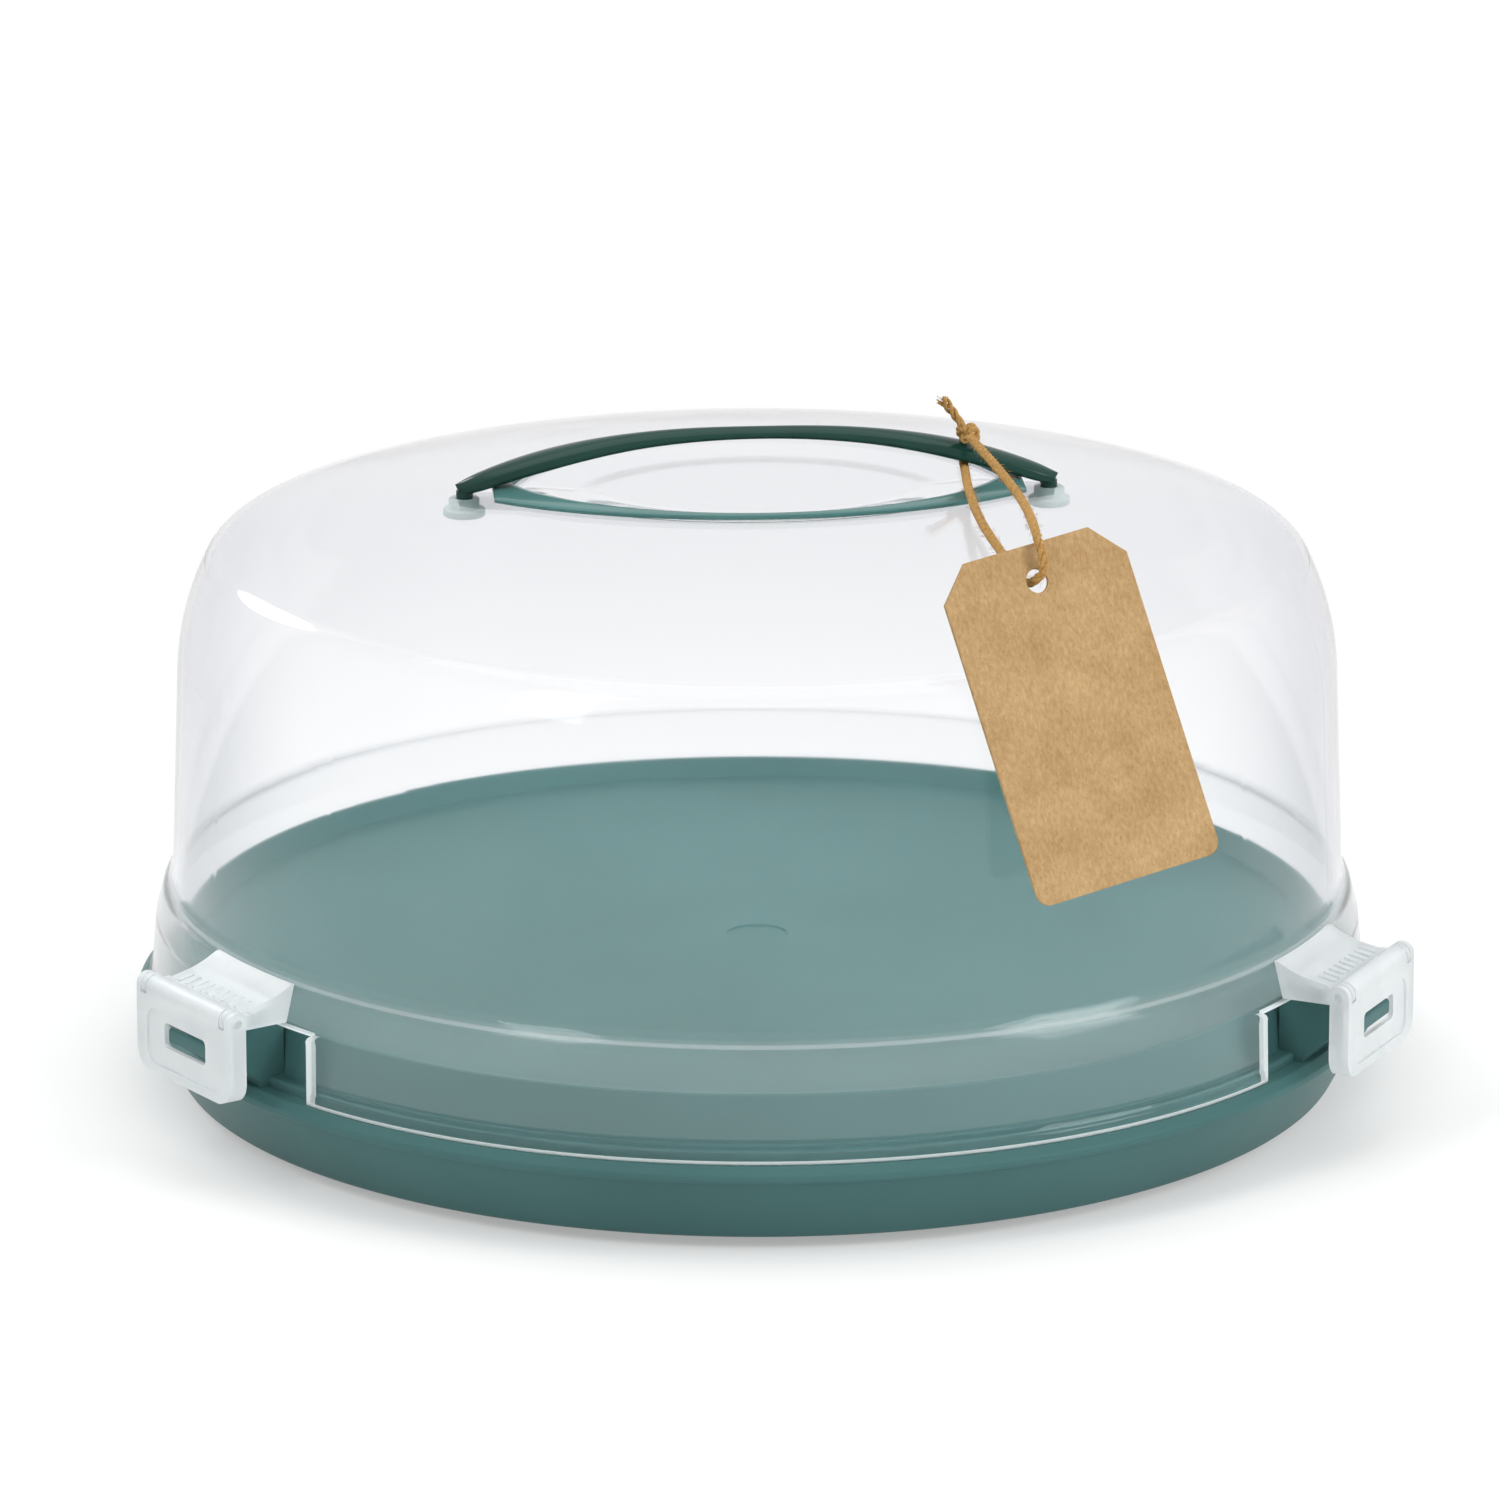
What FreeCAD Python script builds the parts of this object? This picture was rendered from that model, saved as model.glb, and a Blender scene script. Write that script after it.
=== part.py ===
import FreeCAD, Part
import math
import os

# Round cake carrier: a footed serving tray, a clear dome lid that stands on the tray's ledge, an arched
# carrying handle with its seat ring, two hinged side clips and a card tag hung on twine.
# Millimetres, +Z up, front towards -Y. The origin is the middle of the tray's underside.

# Serving tray: the lip is its widest line, and the steps inside it follow from there
lip_radius = 172.5
lip_run = 2.3
lip_fall = 2.0
lip_height = 2.2
lip_overhang = 1.8
ledge_height = 26.3
ledge_run = 4.2
step_rise = 2.7
step_run = 4.5
upstand_rise = 14.0
upstand_draft = 1.5
rim_width = 1.6
rim_slope_run = 4.0
rim_depth = 5.0
foot_flare = 9.7
foot_lift = 3.3
stand_inset = 11.0
tray_wall = 2.5
tray_round = 1.0
foot_round = 3.0
centre_foot_radius = 12.0
gate_mark_radius = 8.5
gate_mark_depth = 0.4

# Dome lid, standing on the tray's ledge round its step
lid_wall = 2.0
lid_clearance = 0.7
skirt_rise = 20.2
skirt_draft = 1.7
bead_depth = 0.8
bead_height = 3.4
bead_chamfer = 0.5
collar_rise = 10.5
collar_slope = 2.7
collar_step = 1.92
wall_rise = 59.98
wall_draft = 2.3
shoulder_low_radius = 70.0
shoulder_high_radius = 10.5
shoulder_break_deg = 27.5
crown_start_deg = 74.5

# Carrying handle: the grip is flat below and domed above, its seat ring widens towards its two ends
seat_gap = 0.1
grip_half_length = 82.5
grip_rise = 14.8
grip_arch_power_share = 2.4
grip_width = 13.2
grip_thickness = 4.6
grip_station_shares = (-1.0, -0.92, -0.7, -0.35, 0.0, 0.35, 0.7, 0.92, 1.0)
grip_width_shares = (0.42, 0.78, 1.0, 0.76, 0.66, 0.76, 1.0, 0.78, 0.42)
grip_top_width_shares = (0.34, 0.66, 0.86, 0.54, 0.42, 0.54, 0.86, 0.66, 0.34)
grip_thickness_shares = (0.7, 0.92, 1.0, 0.8, 0.66, 0.8, 1.0, 0.92, 0.7)
grip_side_share = 0.62
ring_end_inset = 0.5
ring_end_cut = 9.0
ring_end_width = 14.5
ring_side_width = 2.6
ring_thickness = 1.2
stud_inset = 2.0
stud_radius = 2.4
stud_hole_clearance = 0.2
cap_hub_wall = 1.7
cap_flange = 1.6
cap_thickness = 2.0
cap_drop = 7.0
cap_floor = 1.0

# Finger dish in the crown under the grip, an eye shape with sloping sides
dish_half_width = 45.5
dish_depth = 5.0
dish_end_reach = 15.0
dish_end_slope = 34.5
dish_side_slope = 14.0
dish_ring_margin = 0.4

# Side clips, one at each side towards the front, hung from the lid's collar
clip_angles_deg = {"left": 210.0, "right": 330.0}
bracket_inset = 4.5
bracket_wall = 2.0
bracket_lift = 0.3
shelf_lead = 3.0
shelf_run = 10.2
shelf_inner_rise = 7.2
shelf_outer_rise = 5.0
shelf_round = 30.0
rib_count = 9
rib_pitch = 3.6
rib_width = 1.4
rib_length = 4.6
rib_height = 0.5
pin_rise = 4.0
pin_radius = 1.2
pin_clearance = 0.08
barrel_radius = 3.2
hinge_gap = 0.4
ear_width = 2.2
flap_half_width = 23.5
flap_foot_gap = 1.2
flap_plate = 2.2
flap_depth = 5.6
flap_side_wall = 2.0
flap_round = 6.0
panel_margin = 5.0
panel_height = 15.6
panel_depth = 0.7
panel_round = 4.0
slot_width = 21.0
slot_height = 7.0
slot_drop = 11.2
slot_round = 1.5
notch_side_gap = 3.5
notch_flare = 2.0
notch_head_gap = 1.3
notch_round = 3.0

# Catch lugs on the tray, one behind each clip
lug_side_gap = 0.8
lug_top_gap = 1.4
lug_tip_gap = 1.4
lug_tip_height = 4.4
lug_back_gap = 1.0
lug_head_gap = 0.9

# Card tag on the lid's right shoulder, its hole placed from the line where shoulder and crown meet
tag_width = 57.0
tag_length = 92.2
tag_thickness = 1.0
tag_corner_cut = 9.1
tag_foot_round = 4.0
tag_hole_radius = 3.2
tag_hole_inset = 9.8
tag_hole_back = 2.96
tag_hole_rise = 20.61
tag_azimuth_deg = -63.632
tag_across = (0.8888, 0.4419, 0.1214)
tag_down = (0.2777, -0.3088, -0.9097)

# Twine: out of the knot, over the card's top edge, through its hole and back under the grip
twine_diameter = 2.6
twine_route = (
    (57.8, -5.0, 180.9),
    (58.9, -15.0, 180.9),
    (60.8, -29.0, 180.8),
    (62.6, -44.0, 180.6),
    (64.0, -59.0, 180.6),
    (64.9, -74.0, 180.9),
    (65.1, -91.0, 181.7),
    (64.4, -108.0, 183.2),
    (63.4, -125.8, 185.2),
    (65.9, -130.4, 176.4),
    (62.6, -126.2, 171.4),
    (60.4, -118.6, 169.8),
    (58.9, -106.0, 170.6),
    (57.6, -92.0, 171.4),
    (56.3, -79.0, 171.8),
    (55.4, -66.0, 172.0),
    (55.1, -50.0, 172.0),
    (55.3, -34.0, 171.8),
    (56.0, -18.0, 171.7),
    (56.8, -5.0, 171.5),
    (57.6, 9.2, 171.4),
    (57.8, 9.2, 178.6),
    (57.8, -2.6, 181.2),
)
bend_share = 0.45
knot_place = (57.8, -4.0, 181.3)
knot_radius = 3.7
knot_squash_share = 0.92
tail_points = ((56.4, -3.9, 183.0), (53.8, -3.7, 187.2), (50.6, -3.5, 191.0))
tail_diameter = 2.6

overrun = 2.0

# Places that follow from the sizes above
step_radius = lip_radius - lip_run - ledge_run
step_height = ledge_height + step_rise
upstand_foot = step_radius - step_run
platform_radius = upstand_foot - upstand_draft
rim_height = step_height + upstand_rise
tray_floor = rim_height - rim_depth
wall_head = lip_radius - lip_overhang
foot_radius = wall_head - foot_flare
stand_radius = foot_radius - stand_inset

skirt_foot_radius = step_radius + lid_clearance + lid_wall
skirt_top_radius = skirt_foot_radius - skirt_draft
skirt_top = ledge_height + skirt_rise
collar_top_radius = skirt_top_radius - collar_slope
collar_top = skirt_top + collar_rise
wall_foot_radius = collar_top_radius - collar_step
wall_top_radius = wall_foot_radius - wall_draft
wall_top = collar_top + wall_rise
wall_lean = math.atan2(wall_draft, wall_rise)
shoulder_break = math.radians(shoulder_break_deg)
crown_start = math.radians(crown_start_deg)

ring_half_length = grip_half_length - ring_end_inset
ring_hole_half_length = ring_half_length - ring_end_width
ring_end_reach = ring_half_length - ring_end_cut
ring_hole_half_width = dish_half_width + dish_ring_margin
ring_half_width = ring_hole_half_width + ring_side_width
dish_half_length = ring_hole_half_length + dish_end_reach
dish_floor_half_length = dish_half_length - dish_end_slope
dish_floor_half_width = dish_half_width - dish_side_slope
stud_place = grip_half_length - stud_inset
cap_bore_radius = stud_radius + seat_gap
cap_hub_radius = cap_bore_radius + cap_hub_wall
cap_radius = cap_hub_radius + cap_flange

bracket_half_width = flap_half_width - bracket_inset
bracket_foot = skirt_top + bracket_lift
shelf_inner_reach = skirt_top_radius + shelf_lead
shelf_outer_reach = shelf_inner_reach + shelf_run
shelf_inner_height = bracket_foot + shelf_inner_rise
shelf_outer_height = bracket_foot + shelf_outer_rise
pin_reach = shelf_outer_reach + hinge_gap + barrel_radius
pin_height = skirt_top + pin_rise
bore_radius = pin_radius + pin_clearance
ear_far = flap_half_width - flap_side_wall - hinge_gap
ear_near = ear_far - ear_width
flap_reach = pin_reach + barrel_radius
flap_foot = ledge_height + flap_foot_gap
panel_half_width = flap_half_width - panel_margin
slot_centre = pin_height - slot_drop
panel_centre = slot_centre - slot_round
notch_half_width = flap_half_width + notch_side_gap
notch_top = skirt_top - notch_head_gap


def vec(x, y, z):
    return FreeCAD.Vector(x, y, z)


def polar_step(centre, radius, angle):
    """Point (r, z) on an arc about centre, with the angle measured up from the horizontal."""
    return (centre[0] + radius * math.cos(angle), centre[1] + radius * math.sin(angle))


low_centre = polar_step((wall_top_radius, wall_top), -shoulder_low_radius, wall_lean)
shoulder_joint = polar_step(low_centre, shoulder_low_radius, shoulder_break)
high_centre = polar_step(shoulder_joint, -shoulder_high_radius, shoulder_break)
crown_joint = polar_step(high_centre, shoulder_high_radius, crown_start)
crown_radius = crown_joint[0] / math.cos(crown_start)
crown_centre = crown_joint[1] - crown_radius * math.sin(crown_start)
crown_top = crown_centre + crown_radius


def crown_height(reach, inset=0):
    return crown_centre + math.sqrt((crown_radius - inset) ** 2 - reach ** 2)


def line(a, b):
    return Part.LineSegment(a, b).toShape()


def section_point(point):
    return vec(point[0], 0, point[1])


def rounded_outline(corners):
    """Closed wire in the XZ plane; each corner is (x, z, round) and a round of zero stays sharp."""
    starts = []
    ends = []
    arcs = []
    count = len(corners)
    for i, (x, z, radius) in enumerate(corners):
        here = vec(x, 0, z)
        back = (vec(corners[i - 1][0], 0, corners[i - 1][1]) - here).normalize()
        ahead = corners[(i + 1) % count]
        on = (vec(ahead[0], 0, ahead[1]) - here).normalize()
        if radius == 0:
            starts.append(here)
            ends.append(here)
            arcs.append(None)
            continue
        half = back.getAngle(on) / 2
        reach = radius / math.tan(half)
        bisector = (back + on).normalize()
        middle = here + bisector * (radius / math.sin(half) - radius)
        starts.append(here + back * reach)
        ends.append(here + on * reach)
        arcs.append(Part.Arc(starts[i], middle, ends[i]).toShape())
    edges = []
    for i in range(count):
        if arcs[i]:
            edges.append(arcs[i])
        edges.append(line(ends[i], starts[(i + 1) % count]))
    return Part.Wire(Part.__sortEdges__(edges))


def turned(wire):
    return Part.Face(wire).revolve(vec(0, 0, 0), vec(0, 0, 1), 360)


def along_y(wire, half_width):
    """Solid from an XZ outline, drawn out evenly to both sides of the XZ plane."""
    face = Part.Face(wire)
    face.translate(vec(0, -half_width, 0))
    return face.extrude(vec(0, 2 * half_width, 0))


def panel(x, depth, half_width, low, high, low_round, high_round):
    """Upright plate square to X, from x inwards by depth, with its low and high corners rounded."""
    plate = Part.makeBox(depth, 2 * half_width, high - low, vec(x - depth, -half_width, low))
    middle = (low + high) / 2
    for radius, below in ((low_round, True), (high_round, False)):
        if radius == 0:
            continue
        edges = []
        for edge in plate.Edges:
            is_across = abs(edge.tangentAt(edge.FirstParameter).x) > math.cos(math.pi / 4)
            is_straight = edge.Curve.TypeId == "Part::GeomLine"
            if is_across and is_straight and (edge.CenterOfMass.z < middle) == below:
                if abs(abs(edge.CenterOfMass.y) - half_width) < radius / 2:
                    edges.append(edge)
        plate = plate.makeFillet(radius, edges)
    return plate


def at_clip(shape, angle_deg):
    copy = shape.copy()
    copy.rotate(vec(0, 0, 0), vec(0, 0, 1), angle_deg)
    return copy


def eye_wire(half_length, half_width, z):
    left = vec(-half_length, 0, z)
    right = vec(half_length, 0, z)
    far = Part.Arc(left, vec(0, half_width, z), right).toShape()
    near = Part.Arc(right, vec(0, -half_width, z), left).toShape()
    return Part.Wire([far, near])


def catch_lug():
    """Block on the tray's step and ledge, with a tongue that the clip's slot drops over."""
    tip = flap_reach - lug_tip_gap
    top = slot_centre + slot_height / 2 - lug_top_gap
    under = top - lug_tip_height
    root = platform_radius + upstand_draft / 2
    back = flap_reach - flap_depth - lug_back_gap
    head = notch_top - lug_head_gap
    face_line = step_radius + ledge_run / 2
    foot = ledge_height - tray_wall / 2
    outline = rounded_outline((
        (root, foot, 0),
        (root, rim_height - tray_round, 0),
        (platform_radius + tray_round, head, 0),
        (back, head, tray_round),
        (back, top, 0),
        (tip, top, tray_round),
        (tip, under, tray_round),
        (back, under, 0),
        (face_line, foot + tray_wall, 0),
        (face_line, foot, 0),
    ))
    return along_y(outline, slot_width / 2 - lug_side_gap)


def base_tray():
    """One moulded shell: standing ring, flared wall, lip, ledge for the lid, step, upstand and platform."""
    slope_foot = platform_radius - rim_width - rim_slope_run
    lip_top = ledge_height - lip_fall
    lip_under = lip_top - lip_height
    inner_ledge = ledge_height - tray_wall
    shell = turned(rounded_outline((
        (stand_radius - tray_wall, 0, 0),
        (stand_radius, 0, 0),
        (stand_radius, foot_lift, 0),
        (foot_radius, foot_lift, foot_round),
        (wall_head, lip_under, 0),
        (lip_radius, lip_under, tray_round),
        (lip_radius, lip_top, tray_round),
        (step_radius + ledge_run, ledge_height, tray_round / 2),
        (step_radius, ledge_height, 0),
        (step_radius, step_height, tray_round),
        (upstand_foot, step_height, tray_round),
        (platform_radius, rim_height, tray_round / 2),
        (platform_radius - rim_width, rim_height, tray_round / 2),
        (slope_foot, tray_floor, tray_round),
        (0, tray_floor, 0),
        (0, tray_floor - tray_wall, 0),
        (slope_foot - tray_wall / 2, tray_floor - tray_wall, 0),
        (platform_radius - tray_wall, rim_height - tray_wall, 0),
        (upstand_foot - tray_wall, step_height - tray_wall, 0),
        (step_radius - tray_wall, step_height - tray_wall, 0),
        (step_radius - tray_wall, inner_ledge, 0),
        (wall_head - tray_wall, inner_ledge, 0),
        (wall_head - tray_wall, lip_under, 0),
        (foot_radius - tray_wall, foot_lift + tray_wall, 0),
        (stand_radius - tray_wall, foot_lift + tray_wall, 0),
    )))
    foot = Part.makeCylinder(centre_foot_radius, tray_floor - tray_wall / 2)
    mark_foot = vec(0, 0, tray_floor - gate_mark_depth)
    mark = Part.makeCylinder(gate_mark_radius, gate_mark_depth + overrun, mark_foot)
    lugs = [at_clip(catch_lug(), angle) for angle in clip_angles_deg.values()]
    return shell.fuse([foot] + lugs).cut(mark).removeSplitter()


def dome_body(inset, drop):
    """Solid inside the lid's outline moved in by inset, and reaching down by drop past the skirt's foot."""
    foot = section_point((skirt_foot_radius - inset, ledge_height - drop))
    skirt_head = section_point((skirt_top_radius - inset, skirt_top))
    collar_head = section_point((collar_top_radius - inset, collar_top - inset))
    wall_foot = section_point((wall_foot_radius - inset, collar_top - inset))
    low_radius = shoulder_low_radius - inset
    high_radius = shoulder_high_radius - inset
    top_radius = crown_radius - inset
    wall_end = section_point(polar_step(low_centre, low_radius, wall_lean))
    low_middle = section_point(polar_step(low_centre, low_radius, (wall_lean + shoulder_break) / 2))
    low_end = section_point(polar_step(low_centre, low_radius, shoulder_break))
    high_middle = section_point(polar_step(high_centre, high_radius, (shoulder_break + crown_start) / 2))
    high_end = section_point(polar_step(high_centre, high_radius, crown_start))
    crown_mid = section_point(polar_step((0, crown_centre), top_radius, (crown_start + math.pi / 2) / 2))
    apex = vec(0, 0, crown_centre + top_radius)
    ground = vec(0, 0, ledge_height - drop)
    edges = [
        line(ground, foot),
        line(foot, skirt_head),
        line(skirt_head, collar_head),
        line(collar_head, wall_foot),
        line(wall_foot, wall_end),
        Part.Arc(wall_end, low_middle, low_end).toShape(),
        Part.Arc(low_end, high_middle, high_end).toShape(),
        Part.Arc(high_end, crown_mid, apex).toShape(),
        line(apex, ground),
    ]
    return turned(Part.Wire(edges))


def dish_tool(margin):
    """Space of the finger dish above its floor, grown by margin on the sides and below."""
    floor = crown_top - dish_depth
    mouth = crown_height(dish_half_width)
    rise = mouth - floor
    grow = (crown_top + overrun - floor) / rise
    head_length = dish_floor_half_length + (dish_half_length - dish_floor_half_length) * grow
    head_width = dish_floor_half_width + (dish_half_width - dish_floor_half_width) * grow
    low = eye_wire(dish_floor_half_length + margin, dish_floor_half_width + margin, floor - margin)
    high = eye_wire(head_length + margin, head_width + margin, crown_top + overrun - margin)
    return Part.makeLoft([low, high], True, True)


def skirt_notch():
    """Gap in the skirt behind a clip, a little wider at its foot."""
    reach = skirt_foot_radius + bead_depth + overrun
    depth = reach - platform_radius
    foot = ledge_height - overrun
    corners = (
        (-notch_half_width - notch_flare, foot, 0),
        (-notch_half_width, notch_top, notch_round),
        (notch_half_width, notch_top, notch_round),
        (notch_half_width + notch_flare, foot, 0),
    )
    tool = Part.Face(rounded_outline(corners)).extrude(vec(0, depth, 0))
    tool.rotate(vec(0, 0, 0), vec(0, 0, 1), 90)
    tool.translate(vec(reach, 0, 0))
    return tool


def lid_dome():
    """Clear blown-thin shell: skirt with a foot bead, sloping collar, wall, shoulder, crown and dish."""
    bead_reach = skirt_foot_radius + bead_depth
    bead_foot = skirt_foot_radius - lid_wall
    bead_top = ledge_height + bead_height
    bead = turned(rounded_outline((
        (bead_foot, ledge_height, 0),
        (bead_reach - bead_chamfer, ledge_height, 0),
        (bead_reach, ledge_height + bead_chamfer, 0),
        (bead_reach, bead_top - bead_chamfer, 0),
        (bead_reach - bead_chamfer, bead_top, 0),
        (bead_foot, bead_top, 0),
    )))
    outer = dome_body(0, 0).fuse(bead).cut(dish_tool(0))
    inner = dome_body(lid_wall, overrun).cut(dish_tool(lid_wall))
    shell = outer.cut(inner)
    hole_radius = stud_radius + stud_hole_clearance
    hole_foot = crown_height(stud_place, lid_wall) - overrun
    for side in (-1, 1):
        place = vec(side * stud_place, 0, hole_foot)
        shell = shell.cut(Part.makeCylinder(hole_radius, crown_top + overrun - hole_foot, place))
    for angle in clip_angles_deg.values():
        shell = shell.cut(at_clip(skirt_notch(), angle))
    return shell


def crown_ball(offset):
    return Part.makeSphere(crown_radius + offset, vec(0, 0, crown_centre))


def handle_seat_ring():
    """Thin eye-shaped trim on the crown round the finger dish, its broad ends cut blunt below the grip."""
    foot = crown_height(ring_half_length) - dish_depth
    rise = crown_top + overrun - foot
    whole = Part.Face(eye_wire(ring_half_length, ring_half_width, foot))
    hole = Part.Face(eye_wire(ring_hole_half_length, ring_hole_half_width, foot))
    band = whole.extrude(vec(0, 0, rise)).cut(hole.extrude(vec(0, 0, rise)))
    keep_corner = vec(-ring_end_reach, -ring_half_width, foot)
    band = band.common(Part.makeBox(2 * ring_end_reach, 2 * ring_half_width, rise, keep_corner))
    return band.common(crown_ball(seat_gap + ring_thickness)).cut(crown_ball(seat_gap))


grip_foot = crown_height(grip_half_length) + seat_gap + grip_thickness * grip_thickness_shares[0] / 2


def grip_height(place):
    """Height of the grip's centre line at a share of its half length."""
    return grip_foot + grip_rise * (1 - abs(place) ** grip_arch_power_share)


def grip_section(place, width, top_width, thickness):
    """Closed outline across the grip: flat below, leaning sides and a domed top."""
    steepest = grip_arch_power_share * grip_rise / grip_half_length
    slope = steepest * abs(place) ** (grip_arch_power_share - 1)
    lean = math.copysign(math.atan(slope), place)
    up = vec(math.sin(lean), 0, math.cos(lean))
    middle = vec(place * grip_half_length, 0, grip_height(place))
    foot = middle - up * (thickness / 2)
    shoulder = foot + up * (thickness * grip_side_share)
    across = vec(0, 1, 0)
    near_foot = foot - across * (width / 2)
    far_foot = foot + across * (width / 2)
    near_top = shoulder - across * (top_width / 2)
    far_top = shoulder + across * (top_width / 2)
    top = Part.Arc(far_top, foot + up * thickness, near_top).toShape()
    return Part.Wire([line(near_foot, far_foot), line(far_foot, far_top), top, line(near_top, near_foot)])


def handle_grip():
    """Arched grip, with a stud at each end that goes through the crown."""
    shares = zip(grip_station_shares, grip_width_shares, grip_top_width_shares, grip_thickness_shares)
    sections = []
    for place, width, top_width, thickness in shares:
        widths = (grip_width * width, grip_width * top_width)
        sections.append(grip_section(place, *widths, grip_thickness * thickness))
    grip = Part.makeLoft(sections, True, False)
    stud_foot = crown_height(stud_place) - cap_drop + cap_floor + seat_gap
    stud_head = grip_height(stud_place / grip_half_length)
    for side in (-1, 1):
        stud = Part.makeCylinder(stud_radius, stud_head - stud_foot, vec(side * stud_place, 0, stud_foot))
        grip = grip.fuse(stud)
    return grip


def handle_stud_cap(side):
    """Round retaining cap under the crown, pushed on to the end of a handle stud."""
    foot = crown_height(stud_place) - cap_drop
    place = vec(side * stud_place, 0, foot)
    disc = Part.makeCylinder(cap_radius, cap_thickness, place)
    hub = Part.makeCylinder(cap_hub_radius, cap_drop + overrun, place)
    bore_place = place + vec(0, 0, cap_floor)
    bore = Part.makeCylinder(cap_bore_radius, cap_drop + overrun, bore_place)
    return disc.fuse(hub).cut(bore).common(crown_ball(-lid_wall - seat_gap))


def on_hinge_line(radius, near, far):
    return Part.makeCylinder(radius, far - near, vec(pin_reach, near, pin_height), vec(0, 1, 0))


def hinge_pin():
    pin_end = flap_half_width - hinge_gap
    return on_hinge_line(pin_radius, -pin_end, pin_end)


def clip_bracket():
    """Hollow shelf seated on the lid's collar, with two ears that carry the hinge pin."""
    root = collar_top_radius - lid_wall
    shell = along_y(rounded_outline((
        (root, bracket_foot, 0),
        (shelf_outer_reach, bracket_foot, 0),
        (shelf_outer_reach, shelf_outer_height, 0),
        (shelf_inner_reach, shelf_inner_height, shelf_round),
        (collar_top_radius, collar_top, 0),
        (root, collar_top, 0),
    )), bracket_half_width)
    hollow_root = skirt_top_radius + bracket_wall
    hollow = along_y(rounded_outline((
        (hollow_root, bracket_foot - overrun, 0),
        (shelf_outer_reach - bracket_wall, bracket_foot - overrun, 0),
        (shelf_outer_reach - bracket_wall, shelf_outer_height - bracket_wall, 0),
        (hollow_root, shelf_inner_height - bracket_wall, 0),
    )), bracket_half_width - bracket_wall)
    shell = shell.cut(hollow)
    rail_foot = pin_height - barrel_radius + hinge_gap
    rail = Part.makeBox(bracket_wall, 2 * ear_far, shelf_outer_height - rail_foot,
                        vec(shelf_outer_reach - bracket_wall, -ear_far, rail_foot))
    pieces = [rail]
    for near in (-ear_far, ear_near):
        pieces.append(on_hinge_line(barrel_radius, near, near + ear_width))
        arm_foot = pin_height - barrel_radius / 2
        pieces.append(Part.makeBox(pin_reach - shelf_outer_reach, ear_width, shelf_outer_height - arm_foot,
                                   vec(shelf_outer_reach, near, arm_foot)))
    fall = shelf_inner_height - shelf_outer_height
    rib_reach = shelf_outer_reach - bracket_wall / 2
    for i in range(rib_count):
        rib_foot = shelf_outer_height + fall * (shelf_outer_reach - rib_reach) / shelf_run
        rib_head = rib_foot + fall * rib_length / shelf_run
        rib = along_y(rounded_outline((
            (rib_reach, rib_foot - rib_height, 0),
            (rib_reach, rib_foot + rib_height, 0),
            (rib_reach - rib_length, rib_head + rib_height, 0),
            (rib_reach - rib_length, rib_head - rib_height, 0),
        )), rib_width / 2)
        rib.translate(vec(0, (i - (rib_count - 1) / 2) * rib_pitch, 0))
        pieces.append(rib)
    bore_reach = flap_half_width + overrun
    bore = on_hinge_line(bore_radius, -bore_reach, bore_reach)
    return shell.fuse(pieces).cut(bore).cut(dome_body(-seat_gap, 0)).removeSplitter()


def clip_flap():
    """Tray-shaped flap with a sunk panel, a slot for the catch lug and a hinge roll along its head."""
    outside = panel(flap_reach, flap_depth, flap_half_width, flap_foot, pin_height, flap_round, 0)
    inside = panel(flap_reach - flap_plate, flap_depth, flap_half_width - flap_side_wall,
                   flap_foot + flap_side_wall, pin_height + overrun, flap_round - flap_side_wall, 0)
    roll = on_hinge_line(barrel_radius, -flap_half_width, flap_half_width)
    tray = outside.cut(inside).fuse(roll)
    clear_radius = barrel_radius + hinge_gap
    clear_far = ear_far + hinge_gap
    clear_near = ear_near - hinge_gap
    tray = tray.cut(on_hinge_line(clear_radius, -clear_far, -clear_near))
    tray = tray.cut(on_hinge_line(clear_radius, clear_near, clear_far))
    bore_reach = flap_half_width + overrun
    bore = on_hinge_line(bore_radius, -bore_reach, bore_reach)
    sunk = panel(flap_reach + overrun, panel_depth + overrun, panel_half_width,
                 panel_centre - panel_height / 2, panel_centre + panel_height / 2, panel_round, panel_round)
    slot = panel(flap_reach + overrun, flap_plate + 2 * overrun, slot_width / 2,
                 slot_centre - slot_height / 2, slot_centre + slot_height / 2, slot_round, slot_round)
    return tray.cut(bore).cut(sunk).cut(slot).removeSplitter()


def swing_tag():
    """Stiff card with two cut corners, rounded foot corners and a hole for the twine."""
    half = tag_width / 2
    outline = rounded_outline((
        (-half + tag_corner_cut, tag_hole_inset, 0),
        (half - tag_corner_cut, tag_hole_inset, 0),
        (half, tag_hole_inset - tag_corner_cut, 0),
        (half, tag_hole_inset - tag_length, tag_foot_round),
        (-half, tag_hole_inset - tag_length, tag_foot_round),
        (-half, tag_hole_inset - tag_corner_cut, 0),
    ))
    card = along_y(outline, tag_thickness / 2)
    hole = Part.makeCylinder(tag_hole_radius, tag_thickness + overrun,
                             vec(0, -(tag_thickness + overrun) / 2, 0), vec(0, 1, 0))
    card = card.cut(hole)
    across = vec(*tag_across)
    up = vec(*tag_down) * -1
    hole_reach = crown_joint[0] - tag_hole_back
    azimuth = math.radians(tag_azimuth_deg)
    hole_height = crown_joint[1] + tag_hole_rise
    hole_place = vec(hole_reach * math.cos(azimuth), hole_reach * math.sin(azimuth), hole_height)
    turn = FreeCAD.Rotation(across, up.cross(across), up, "XZY")
    card.Placement = FreeCAD.Placement(hole_place, turn)
    return card


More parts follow.
